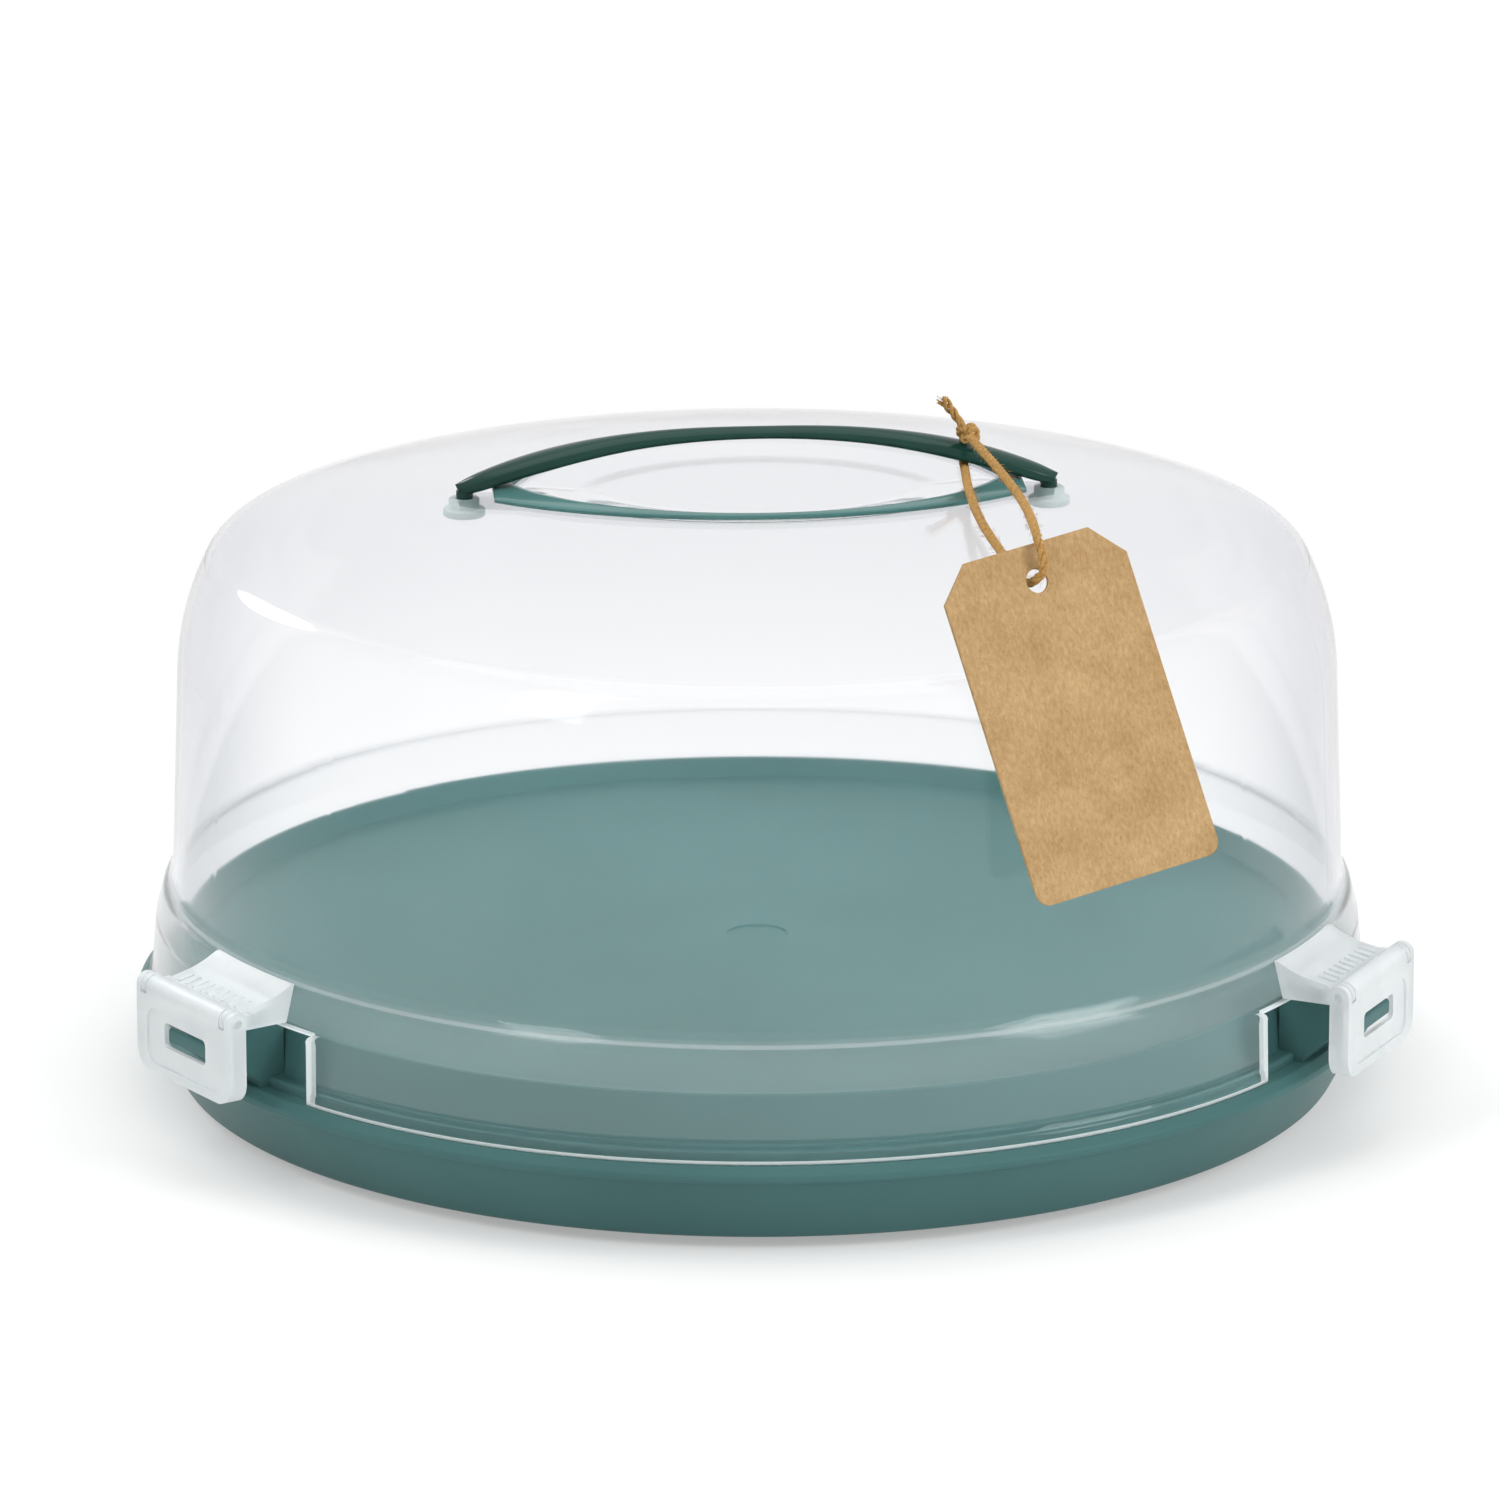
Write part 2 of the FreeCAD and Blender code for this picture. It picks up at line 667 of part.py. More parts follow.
def bent_tube(points, diameter, name):
    """Round tube on straight runs joined by tangent arcs, each as large as its two runs allow."""
    route = [vec(*point) for point in points]
    edges = []
    start = route[0]
    radii = []
    for before, corner, after in zip(route[:-2], route[1:-1], route[2:]):
        back = before - corner
        on = after - corner
        reach = bend_share * min(back.Length, on.Length)
        back.normalize()
        on.normalize()
        half = back.getAngle(on) / 2
        radius = reach * math.tan(half)
        radii.append(radius)
        entry = corner + back * reach
        leave = corner + on * reach
        bisector = (back + on).normalize()
        middle = corner + bisector * (radius / math.sin(half) - radius)
        edges.append(line(start, entry))
        edges.append(Part.Arc(entry, middle, leave).toShape())
        start = leave
    edges.append(line(start, route[-1]))
    path = Part.Wire(edges)
    ring = Part.Circle(route[0], (route[1] - route[0]).normalize(), diameter / 2).toShape()
    tube = path.makePipeShell([Part.Wire([ring])], True, False)
    expected = math.pi * diameter ** 2 / 4 * path.Length
    print(name, "length", round(path.Length, 1), "volume ratio", round(tube.Volume / expected, 4))
    print(name, "radii", [round(radius, 1) for radius in radii])
    return tube


def twine_knot():
    """Overhand knot drawn tight above the grip, as one rounded lump."""
    ball = Part.makeSphere(knot_radius)
    squash = FreeCAD.Matrix()
    squash.A22 = knot_squash_share
    lump = ball.transformGeometry(squash)
    lump.translate(vec(*knot_place))
    return lump


pieces = {
    "base_tray": base_tray(),
    "lid_dome": lid_dome(),
    "handle_grip": handle_grip(),
    "handle_seat_ring": handle_seat_ring(),
    "handle_stud_cap_left": handle_stud_cap(-1),
    "handle_stud_cap_right": handle_stud_cap(1),
    "swing_tag": swing_tag(),
    "twine": bent_tube(twine_route, twine_diameter, "twine"),
    "twine_knot": twine_knot(),
    "twine_tail": bent_tube(tail_points, tail_diameter, "twine_tail"),
}
for side, angle in clip_angles_deg.items():
    pieces["clip_bracket_" + side] = at_clip(clip_bracket(), angle)
    pieces["clip_flap_" + side] = at_clip(clip_flap(), angle)
    pieces["clip_pin_" + side] = at_clip(hinge_pin(), angle)

os.makedirs("parts", exist_ok=True)
for name, shape in pieces.items():
    print(name, len(shape.Solids), "solid", shape.isValid(), round(shape.Volume))
    shape.exportStep("parts/" + name + ".step")
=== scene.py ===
import bmesh
import bpy
import math
import random
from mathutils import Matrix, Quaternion, Vector


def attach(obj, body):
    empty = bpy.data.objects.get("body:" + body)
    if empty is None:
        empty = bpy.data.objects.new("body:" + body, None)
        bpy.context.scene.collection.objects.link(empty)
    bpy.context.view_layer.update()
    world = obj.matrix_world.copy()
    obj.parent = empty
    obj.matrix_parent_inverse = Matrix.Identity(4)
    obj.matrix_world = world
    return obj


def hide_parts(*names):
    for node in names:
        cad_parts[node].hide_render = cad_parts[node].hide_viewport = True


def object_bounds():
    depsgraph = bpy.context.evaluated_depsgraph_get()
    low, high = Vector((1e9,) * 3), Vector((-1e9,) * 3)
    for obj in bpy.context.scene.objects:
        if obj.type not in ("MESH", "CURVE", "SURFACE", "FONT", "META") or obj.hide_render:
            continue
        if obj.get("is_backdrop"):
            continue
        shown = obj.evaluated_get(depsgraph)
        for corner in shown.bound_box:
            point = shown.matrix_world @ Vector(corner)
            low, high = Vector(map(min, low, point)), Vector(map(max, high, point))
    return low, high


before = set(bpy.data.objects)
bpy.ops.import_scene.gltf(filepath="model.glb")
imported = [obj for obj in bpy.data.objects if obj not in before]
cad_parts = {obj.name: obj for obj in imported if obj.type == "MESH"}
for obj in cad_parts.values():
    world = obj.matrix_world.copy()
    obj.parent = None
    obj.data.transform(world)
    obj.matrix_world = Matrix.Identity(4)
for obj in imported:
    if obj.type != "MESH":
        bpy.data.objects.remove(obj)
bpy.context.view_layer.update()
scene = bpy.context.scene
scene.view_settings.view_transform = "Standard"

# Viewpoint: a long lens a few steps in front of the carrier and a little above it, turned slightly to its
# left side, so the tray shows as a flat ellipse through the lid.
view_distance = 2.7
view_turn = math.radians(-4.5)
view_rise = math.radians(16.1)
view_target = Vector((-0.002, 0.0, 0.091))
view_line = Vector((
    math.sin(view_turn) * math.cos(view_rise),
    -math.cos(view_turn) * math.cos(view_rise),
    math.sin(view_rise),
))
lens = bpy.data.cameras.new("front_view")
lens.sensor_width = 36.0
lens.lens = 233.9
lens.clip_end = 20.0
camera = bpy.data.objects.new("front_view", lens)
camera.location = view_target + view_line * view_distance
camera.rotation_euler = (-view_line).to_track_quat("-Z", "Y").to_euler()
scene.collection.objects.link(camera)
scene.camera = camera


# Serving tray: one injection moulding in grey-green polypropylene. A flared wall on a low standing ring
# carries a lip and a ledge for the lid, then a step, an upstand and a slightly sunk platform. Two blocks
# stand out through the lid's notches, each with a tongue for a clip.
MM = 0.001
tray_columns = 288
tray_outline = (
    (0.0, 37.6, 0.0), (8.3, 37.6, 0.0), (8.6, 38.0, 0.0), (154.4, 38.0, 1.6), (158.4, 43.0, 0.6),
    (160.0, 43.0, 0.6), (161.5, 29.0, 1.0), (166.0, 29.0, 1.0), (166.0, 26.3, 0.4), (170.2, 26.3, 0.5),
    (172.5, 24.3, 0.8), (172.5, 22.1, 0.8), (170.7, 22.1, 0.4), (161.0, 3.3, 3.0), (150.0, 3.3, 0.3),
    (150.0, 0.0, 0.3), (147.5, 0.0, 0.3), (147.5, 5.8, 0.0), (158.5, 5.8, 0.0), (168.2, 22.1, 0.0),
    (168.2, 23.8, 0.0), (163.5, 23.8, 0.0), (163.5, 26.5, 0.0), (159.0, 26.5, 0.0), (157.5, 40.5, 0.0),
    (153.15, 35.5, 0.0), (12.0, 35.5, 1.0), (12.0, 0.0, 0.6), (0.0, 0.0, 0.0),
)
lug_half_width = 9.7
lug_end_round = 0.5
lug_outline = (
    (160.75, 25.05, 0.0), (160.75, 42.0, 0.0), (161.0, 44.3, 0.3), (180.4, 44.3, 1.0), (180.4, 41.4, 0.3),
    (185.6, 41.4, 1.0), (185.6, 37.0, 1.0), (180.4, 37.0, 0.3), (168.1, 27.55, 0.0), (168.1, 25.05, 0.0),
)
clip_angles = {"left": 210.0, "right": 330.0}


def from_hex(code):
    """Linear colour of an sRGB hex value."""
    shares = [int(code[i:i + 2], 16) / 255 for i in (1, 3, 5)]
    return [c / 12.92 if c <= 0.04045 else ((c + 0.055) / 1.055) ** 2.4 for c in shares] + [1.0]


def add_node(tree, kind, settings=None, inputs=None):
    """A new node with its settings, and with each input set to a value or linked from a socket."""
    made = tree.nodes.new(kind)
    for name, value in (settings or {}).items():
        setattr(made, name, value)
    for name, value in (inputs or {}).items():
        if isinstance(value, bpy.types.NodeSocket):
            tree.links.new(value, made.inputs[name])
        else:
            made.inputs[name].default_value = value
    return made


def start_material(name):
    """An empty material with its output node."""
    material = bpy.data.materials.new(name)
    material.use_nodes = True
    tree = material.node_tree
    tree.nodes.clear()
    return material, tree, add_node(tree, "ShaderNodeOutputMaterial")


def rounded(corners, chords=4):
    """Points of an outline of (across, up, round) corners, with each round drawn in a few chords."""
    points = []
    for i, (x, y, radius) in enumerate(corners):
        here = Vector((x, y))
        if not radius:
            points.append(here)
            continue
        back = (Vector(corners[i - 1][:2]) - here).normalized()
        on = (Vector(corners[(i + 1) % len(corners)][:2]) - here).normalized()
        half = back.angle(on) / 2
        centre = here + (back + on).normalized() * (radius / math.sin(half))
        first = here + back * (radius / math.tan(half)) - centre
        last = here + on * (radius / math.tan(half)) - centre
        turn = math.pi - 2 * half
        for k in range(chords + 1):
            share = k / chords
            spoke = first * math.sin((1 - share) * turn) + last * math.sin(share * turn)
            points.append(centre + spoke / math.sin(turn))
    return points


def turned(outline, columns):
    """Corners and faces of an open outline turned round the upright axis."""
    corners = []
    faces = []
    for r, z in outline:
        for j in range(columns):
            angle = 2 * math.pi * j / columns
            corners.append(Vector((r * math.cos(angle), r * math.sin(angle), z)))
    for i in range(len(outline) - 1):
        for j in range(columns):
            k = (j + 1) % columns
            faces.append((i * columns + j, i * columns + k, (i + 1) * columns + k, (i + 1) * columns + j))
    return corners, faces


def build_piece(name, corners, faces, materials, sharp_degrees=32, face_choice=None):
    """A closed, smooth-shaded mesh piece from corners in millimetres; the last argument, a list of material
    indices, gives each face its material.
    """
    mesh = bpy.data.meshes.new(name)
    mesh.from_pydata([corner * MM for corner in corners], [], faces)
    for material in materials:
        mesh.materials.append(material)
    if face_choice:
        mesh.polygons.foreach_set("material_index", face_choice)
    work = bmesh.new()
    work.from_mesh(mesh)
    bmesh.ops.remove_doubles(work, verts=work.verts, dist=0.000002)
    bmesh.ops.delete(work, geom=[v for v in work.verts if not v.link_faces], context="VERTS")
    bmesh.ops.recalc_face_normals(work, faces=work.faces)
    work.to_mesh(mesh)
    work.free()
    mesh.shade_smooth()
    mesh.set_sharp_from_angle(angle=math.radians(sharp_degrees))
    piece = bpy.data.objects.new(name, mesh)
    scene.collection.objects.link(piece)
    return piece


# Moulded polypropylene: an even grey-green with a satin skin. The mould's fine spark texture breaks up the
# gloss; it is drawn at 0.9 mm instead of about 0.2 mm so that it shows.
tray_plastic, tree, output = start_material("moulded_polypropylene_grey_green")
place = add_node(tree, "ShaderNodeTexCoord").outputs["Object"]
cloud = add_node(tree, "ShaderNodeTexNoise", inputs={
    "Vector": place, "Scale": 1 / (71.4 * MM), "Detail": 3.0})
tint = add_node(tree, "ShaderNodeValToRGB", inputs={"Fac": cloud.outputs["Fac"]})
tint.color_ramp.elements[0].position = 0.3
tint.color_ramp.elements[0].color = from_hex("#436766")
tint.color_ramp.elements[1].position = 0.7
tint.color_ramp.elements[1].color = from_hex("#496E6D")
grit = add_node(tree, "ShaderNodeTexNoise", inputs={
    "Vector": place, "Scale": 1 / (0.9 * MM), "Detail": 2.0})
gloss = add_node(tree, "ShaderNodeMapRange", inputs={
    "Value": grit.outputs["Fac"], "To Min": 0.30, "To Max": 0.42})
relief = add_node(tree, "ShaderNodeBump", inputs={
    "Height": grit.outputs["Fac"], "Strength": 0.05, "Distance": 0.05 * MM})
skin = add_node(tree, "ShaderNodeBsdfPrincipled", inputs={
    "Base Color": tint.outputs["Color"], "Roughness": gloss.outputs["Result"],
    "Normal": relief.outputs["Normal"], "IOR": 1.49, "Specular IOR Level": 0.08})
tree.links.new(skin.outputs["BSDF"], output.inputs["Surface"])

tray_corners, tray_faces = turned(rounded(tray_outline), tray_columns)
for angle in clip_angles.values():
    side = rounded(lug_outline)
    count = len(side)
    out = Vector((math.cos(math.radians(angle)), math.sin(math.radians(angle)), 0.0))
    across = Vector((-out.y, out.x, 0.0))
    middle = sum(side, Vector((0.0, 0.0))) / count
    rows = []
    for offset, shrink in ((-1.0, lug_end_round), (-0.95, 0.0), (0.95, 0.0), (1.0, lug_end_round)):
        first = len(tray_corners)
        for point in side:
            drawn = point + (middle - point).normalized() * shrink
            beside = across * (offset * lug_half_width)
            tray_corners.append(out * drawn.x + beside + Vector((0.0, 0.0, drawn.y)))
        rows.append(list(range(first, first + count)))
    for low, high in zip(rows[:-1], rows[1:]):
        for k in range(count):
            tray_faces.append((low[k], low[(k + 1) % count], high[(k + 1) % count], high[k]))
    tray_faces.append(tuple(rows[0]))
    tray_faces.append(tuple(reversed(rows[-1])))
tray = build_piece("serving_tray", tray_corners, tray_faces, [tray_plastic])
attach(tray, "base")
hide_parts("base_tray")


# Dome lid: a clear injection moulding with a wall of 2 mm. Its skirt stands on the tray's ledge with a bead
# round the foot and two notches for the clips; above come a sloping collar, the tall wall, a soft shoulder
# and a flat crown with an eye-shaped finger dish.
lid_wall = 2.0
skirt_foot = 26.3
skirt_rise, skirt_draft, skirt_reach_low = 20.2, 1.7, 168.7
collar_foot, collar_rise, collar_draft = 46.5, 10.5, 2.7
wall_foot, wall_rise, wall_draft, wall_reach_low = 57.0, 59.98, 2.3, 162.38
wall_lean = 2.196
skirt_rows = (
    (26.3, 0.3), (26.5, 0.62), (26.8, 0.8), (27.5, 0.8), (29.2, 0.8), (29.5, 0.62), (29.7, 0.3), (30.1, 0.0),
    (33.0, 0.0), (36.0, 0.0), (39.0, 0.0), (42.2, 0.0), (43.4, 0.0), (44.3, 0.0), (44.9, 0.0), (45.2, 0.0),
)
collar_heights = [45.8, 46.2, 46.7, 47.2, 49.0, 51.0, 53.0]
step_low, step_high = 54.5, 60.5
collar_heights += [step_low + (step_high - step_low) * k / 12 for k in range(13)]
collar_heights += [64.0, 70.0, 80.0, 90.0, 100.0, 110.0]
low_centre, low_radius = (90.131, 114.298), 70.0
high_centre, high_radius = (142.908, 141.772), 10.5
crown_centre, crown_radius = -373.54, 545.26
low_turn, high_turn, crown_turn = 27.5, 74.5, 80.71
crown_rim = 88.0
dish_floor = 166.72
dish_mouth = 169.82
dish_floor_eye = (48.0, 31.5)
dish_slopes = (34.5, 14.0)
notch_half_width = 27.0
notch_flare = 2.0
notch_top = 45.2
notch_round = 3.0
notch_degrees = 9.25
notch_edge = 0.8
notch_spread = 8.0
bead_fade = 1.6


def skirt_reach(z):
    return skirt_reach_low - skirt_draft * (z - skirt_foot) / skirt_rise


def collar_reach(z):
    """Outer radius of collar and wall, joined by a soft step."""
    collar = min(skirt_reach(z), skirt_reach(collar_foot) - collar_draft * (z - collar_foot) / collar_rise)
    wall = wall_reach_low - wall_draft * (z - wall_foot) / wall_rise
    share = min(max((z - step_low) / (step_high - step_low), 0.0), 1.0)
    ease = share * share * (3 - 2 * share)
    return collar * (1 - ease) + wall * ease


def crown_height(reach, inset=0.0):
    return crown_centre + math.sqrt((crown_radius - inset) ** 2 - reach ** 2)


def eye_reach(half_length, half_width, angle):
    """Distance from the middle of an eye shape, two equal arcs, to its line in one direction."""
    arc = (half_length ** 2 + half_width ** 2) / (2 * half_width)
    drop = arc - half_width
    sine = abs(math.sin(angle))
    return -sine * drop + math.sqrt((sine * drop) ** 2 + arc ** 2 - drop ** 2)


def notch_half(z):
    """Half width of a skirt notch at a height, with its two round upper corners."""
    flare = notch_flare * (notch_top - z) / (notch_top - skirt_foot)
    over = z - (notch_top - notch_round)
    if over <= 0:
        return notch_half_width + flare
    if z <= notch_top:
        return notch_half_width - notch_round + math.sqrt(max(notch_round ** 2 - over ** 2, 0.0))
    fade = min((z - notch_top) / notch_spread, 1.0)
    return notch_half_width - notch_round * (1 - fade)


def bend_between(before, corner, after, chords=5):
    """Points of a soft corner between two points."""
    points = []
    for k in range(chords + 1):
        t = k / chords
        points.append(before * (1 - t) ** 2 + corner * (2 * t * (1 - t)) + after * t ** 2)
    return points


def crown_points(angle, inset):
    """Outline of crown and dish in one direction, from the crown's rim to the middle of the dish."""
    floor = dish_floor - inset
    near, far = 0.0, crown_rim
    for _ in range(40):
        reach = (near + far) / 2
        share = (crown_height(reach, inset) - floor) / (dish_mouth - dish_floor)
        length, width = (eye + inset + slope * share for eye, slope in zip(dish_floor_eye, dish_slopes))
        if eye_reach(length, width, angle) > reach:
            near = reach
        else:
            far = reach
    mouth = Vector((reach, crown_height(reach, inset)))
    foot = Vector((eye_reach(*(eye + inset for eye in dish_floor_eye), angle), floor))
    lip = 2.2
    outer = Vector((reach + lip, crown_height(reach + lip, inset)))
    slope = (foot - mouth).normalized()
    run = (foot - mouth).length
    points = []
    for k in range(1, 9):
        r = crown_rim + (outer.x - crown_rim) * k / 8
        points.append(Vector((r, crown_height(r, inset))))
    soft = min(lip, run * 0.4)
    points += bend_between(outer, mouth, mouth + slope * soft)[1:]
    points.append(mouth + slope * (run * 0.5))
    points += bend_between(foot - slope * min(3.0, run * 0.4), foot, Vector((foot.x * 0.92, floor)))
    for share in (0.7, 0.45, 0.2):
        points.append(Vector((foot.x * share, floor)))
    return points


# Columns are set out from the middle of each clip, so that notch edges and the dish's tips have their own.
sector = [-60.0 + k for k in range(30)]
sector += [-30.0 + (30.0 - notch_degrees) * k / 21 for k in range(21)]
sector += [-notch_degrees - notch_edge]
sector += [-notch_degrees + notch_degrees * k / 9 for k in range(18)]
sector += [notch_degrees, notch_degrees + notch_edge]
sector += [notch_degrees + (30.0 - notch_degrees) * k / 21 for k in range(1, 21)]
sector += [30.0 + k for k in range(30)]
columns = [(middle, offset) for middle in (210.0, 330.0, 90.0) for offset in sector]
notched = [middle in clip_angles.values() for middle, offset in columns]
in_notch = [cut and -notch_degrees - 0.01 < offset < notch_degrees - 0.01
            for cut, (middle, offset) in zip(notched, columns)]


def lid_surface(inset):
    """Rows of points of the lid's outer or inner face, from the foot to the middle of the dish."""
    outline = []
    for z, proud in skirt_rows:
        outline.append((skirt_reach(z) - inset, z, 0.0 if inset else proud))
    outline += [(collar_reach(z) - inset, z, 0.0) for z in collar_heights]
    for centre, radius, first, last, chords in (
            (low_centre, low_radius, wall_lean, low_turn, 9),
            (high_centre, high_radius, low_turn, high_turn, 14),
            ((0.0, crown_centre), crown_radius, high_turn, crown_turn, 8)):
        for k in range(chords + (last == crown_turn)):
            angle = math.radians(first + (last - first) * k / chords)
            outline.append((centre[0] + (radius - inset) * math.cos(angle),
                            centre[1] + (radius - inset) * math.sin(angle), 0.0))
    rows = []
    for base, z, proud in outline:
        row = []
        for cut, (middle, offset) in zip(notched, columns):
            r = base + proud
            if cut:
                r = base + proud * min(max((abs(offset) - notch_degrees) / bead_fade, 0.0), 1.0)
            if cut and z < notch_top + notch_spread:
                edge = math.degrees(math.asin(notch_half(z) / r))
                away = max(abs(offset) - notch_degrees, 0.0)
                shift = (edge - notch_degrees) * math.exp(-away / 6.0)
                offset += math.copysign(shift, offset) * min(abs(offset) / notch_degrees, 1.0)
            angle = math.radians(middle + offset)
            row.append(Vector((r * math.cos(angle), r * math.sin(angle), z)))
        rows.append(row)
    spokes = [crown_points(math.radians(middle + offset), inset) for middle, offset in columns]
    for k in range(len(spokes[0])):
        row = []
        for (middle, offset), spoke in zip(columns, spokes):
            angle = math.radians(middle + offset)
            row.append(Vector((spoke[k].x * math.cos(angle), spoke[k].x * math.sin(angle), spoke[k].y)))
        rows.append(row)
    return rows


lid_corners = []
lid_faces = []
lid_face_choice = []
# Lid face materials: clear wall, a milky painted reflection on skirt and collar, a white painted highlight
# on cut edges and bead foot, and a pale painted highlight line at the step.
CLEAR, REFLECTION_VEIL, EDGE_HIGHLIGHT, STEP_HIGHLIGHT = 0, 1, 2, 3
faces_at = []
width = len(columns)
notch_row = len(skirt_rows) - 1
# The bead's lowest outer rows are painted white: a painted highlight.
bead_highlight_rows = range(3)
# Skirt and collar rows get a milky veil: a painted reflection of the room.
reflection_veil_rows = range(8, notch_row + 16)
# Two rows at the step get a pale line: a painted highlight.
step_highlight_rows = range(notch_row + 12, notch_row + 14)
for inset in (0.0, lid_wall):
    rows = lid_surface(inset)
    start = len(lid_corners)
    faces_at.append(start)
    for row in rows:
        lid_corners += row
    for i in range(len(rows) - 1):
        for j in range(width):
            k = (j + 1) % width
            if i < notch_row and in_notch[j]:
                continue
            a = start + i * width
            lid_faces.append((a + j, a + k, a + width + k, a + width + j))
            beside = i < notch_row and (in_notch[j - 1] or in_notch[k])
            above = i == notch_row and in_notch[j]
            # Notch sides, the faces above the notches and the bead's foot take the white painted highlight;
            # the step rows take the painted highlight line; skirt and collar take the painted reflection
            # veil.
            if beside or above or (i in bead_highlight_rows and not inset):
                lid_face_choice.append(EDGE_HIGHLIGHT)
            elif i in step_highlight_rows and not inset:
                lid_face_choice.append(STEP_HIGHLIGHT)
            else:
                lid_face_choice.append(REFLECTION_VEIL if i in reflection_veil_rows and not inset else CLEAR)
    middle = len(lid_corners)
    lid_corners.append(Vector((0.0, 0.0, dish_floor - inset)))
    last = start + (len(rows) - 1) * width
    for j in range(width):
        lid_faces.append((last + j, last + (j + 1) % width, middle))
        lid_face_choice.append(CLEAR)
outer, inner = faces_at
# The wall's rim and the notch sides also take the white painted highlight.
for j in range(width):
    k = (j + 1) % width
    rim = notch_row * width if in_notch[j] else 0
    lid_faces.append((outer + rim + j, outer + rim + k, inner + rim + k, inner + rim + j))
    lid_face_choice.append(EDGE_HIGHLIGHT)
    if in_notch[j] != in_notch[k]:
        for i in range(notch_row):
            a = i * width + k
            lid_faces.append((outer + a, outer + a + width, inner + a + width, inner + a))
            lid_face_choice.append(EDGE_HIGHLIGHT)

# Clear moulded plastic: bright and smooth, with faint waviness from the mould, and greyer where the eye
# looks through a wall at a slant. Lamplight passes, thinned by the wall. Skirt and collar carry a milky veil
# that is a painted reflection of the room, the step above them a pale painted highlight line, and cut edges
# and the bead's foot are painted white as a painted highlight.


def clear_plastic(name, square_tint, slant_tint, clearness, smooth, dull):
    """Clear plastic, greyer where light crosses it at a slant, with a clear share and a range of haze."""
    material, tree, output = start_material(name)
    place = add_node(tree, "ShaderNodeTexCoord").outputs["Object"]
    wave = add_node(tree, "ShaderNodeTexNoise", inputs={
        "Vector": place, "Scale": 1 / (45 * MM), "Detail": 1.0})
    relief = add_node(tree, "ShaderNodeBump", inputs={
        "Height": wave.outputs["Fac"], "Strength": 0.08, "Distance": 0.4 * MM})
    haze = add_node(tree, "ShaderNodeMapRange", inputs={
        "Value": wave.outputs["Fac"], "To Min": smooth, "To Max": dull})
    slant = add_node(tree, "ShaderNodeLayerWeight", inputs={"Blend": 0.5})
    grey = add_node(tree, "ShaderNodeMapRange", {"interpolation_type": "SMOOTHSTEP"}, {
        "Value": slant.outputs["Facing"], "From Min": 0.35, "From Max": 0.8})
    tint = add_node(tree, "ShaderNodeMix", {"data_type": "RGBA"}, {
        "Factor": grey.outputs["Result"], "A": from_hex(square_tint), "B": from_hex(slant_tint)})
    shell = add_node(tree, "ShaderNodeBsdfPrincipled", inputs={
        "Base Color": tint.outputs["Result"], "Transmission Weight": clearness, "IOR": 1.3,
        "Roughness": haze.outputs["Result"], "Normal": relief.outputs["Normal"]})
    pass_on = add_node(tree, "ShaderNodeBsdfTransparent", inputs={"Color": from_hex("#F4F7F7")})
    ray = add_node(tree, "ShaderNodeLightPath")
    choice = add_node(tree, "ShaderNodeMixShader", inputs={"Fac": ray.outputs["Is Shadow Ray"]})
    tree.links.new(shell.outputs["BSDF"], choice.inputs[1])
    tree.links.new(pass_on.outputs["BSDF"], choice.inputs[2])
    tree.links.new(choice.outputs["Shader"], output.inputs["Surface"])
    return material


lid_clear = clear_plastic("clear_moulded_plastic", "#FCFCFD", "#DFE0E5", 1.0, 0.03, 0.05)
# Milky veil for skirt and collar: a painted reflection.
lid_painted_reflection_veil = clear_plastic("clear_plastic_painted_reflection_veil", "#F5F7F8", "#F5F7F8", 0.94, 0.1, 0.14)
# White for cut edges and the bead's foot: a painted highlight.
lid_painted_edge_highlight = clear_plastic("clear_plastic_painted_edge_highlight", "#F3F7F7", "#F3F7F7", 0.42, 0.3, 0.4)
# Pale band for the step: a painted highlight line.
lid_painted_step_highlight = clear_plastic("clear_plastic_painted_step_highlight", "#F5F7F8", "#F5F7F8", 0.78, 0.2, 0.3)
# The lid's materials: clear wall, then the painted reflection veil, the painted edge highlight and the
# painted step highlight.
lid_clear_and_painted_light_materials = [lid_clear, lid_painted_reflection_veil, lid_painted_edge_highlight, lid_painted_step_highlight]
lid = build_piece("dome_lid", lid_corners, lid_faces, lid_clear_and_painted_light_materials, 40, lid_face_choice)
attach(lid, "lid")
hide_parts("lid_dome")


# Seat ring: a thin eye-shaped trim that lies on the crown round the finger dish, narrow along its sides and
# broad at its two ends under the grip. Moulded in polypropylene, a lighter green than the grip.
ring_outer = (82.0, 48.5)
ring_inner = (67.5, 45.9)
ring_end_reach = 73.0
ring_lift = 0.1
ring_thickness = 1.2

# Gloss polypropylene from a polished mould: an even green whose edges catch crisp pale lines. A fine grit,
# drawn at 1.2 mm so that it shows, keeps the gloss from looking like glass.


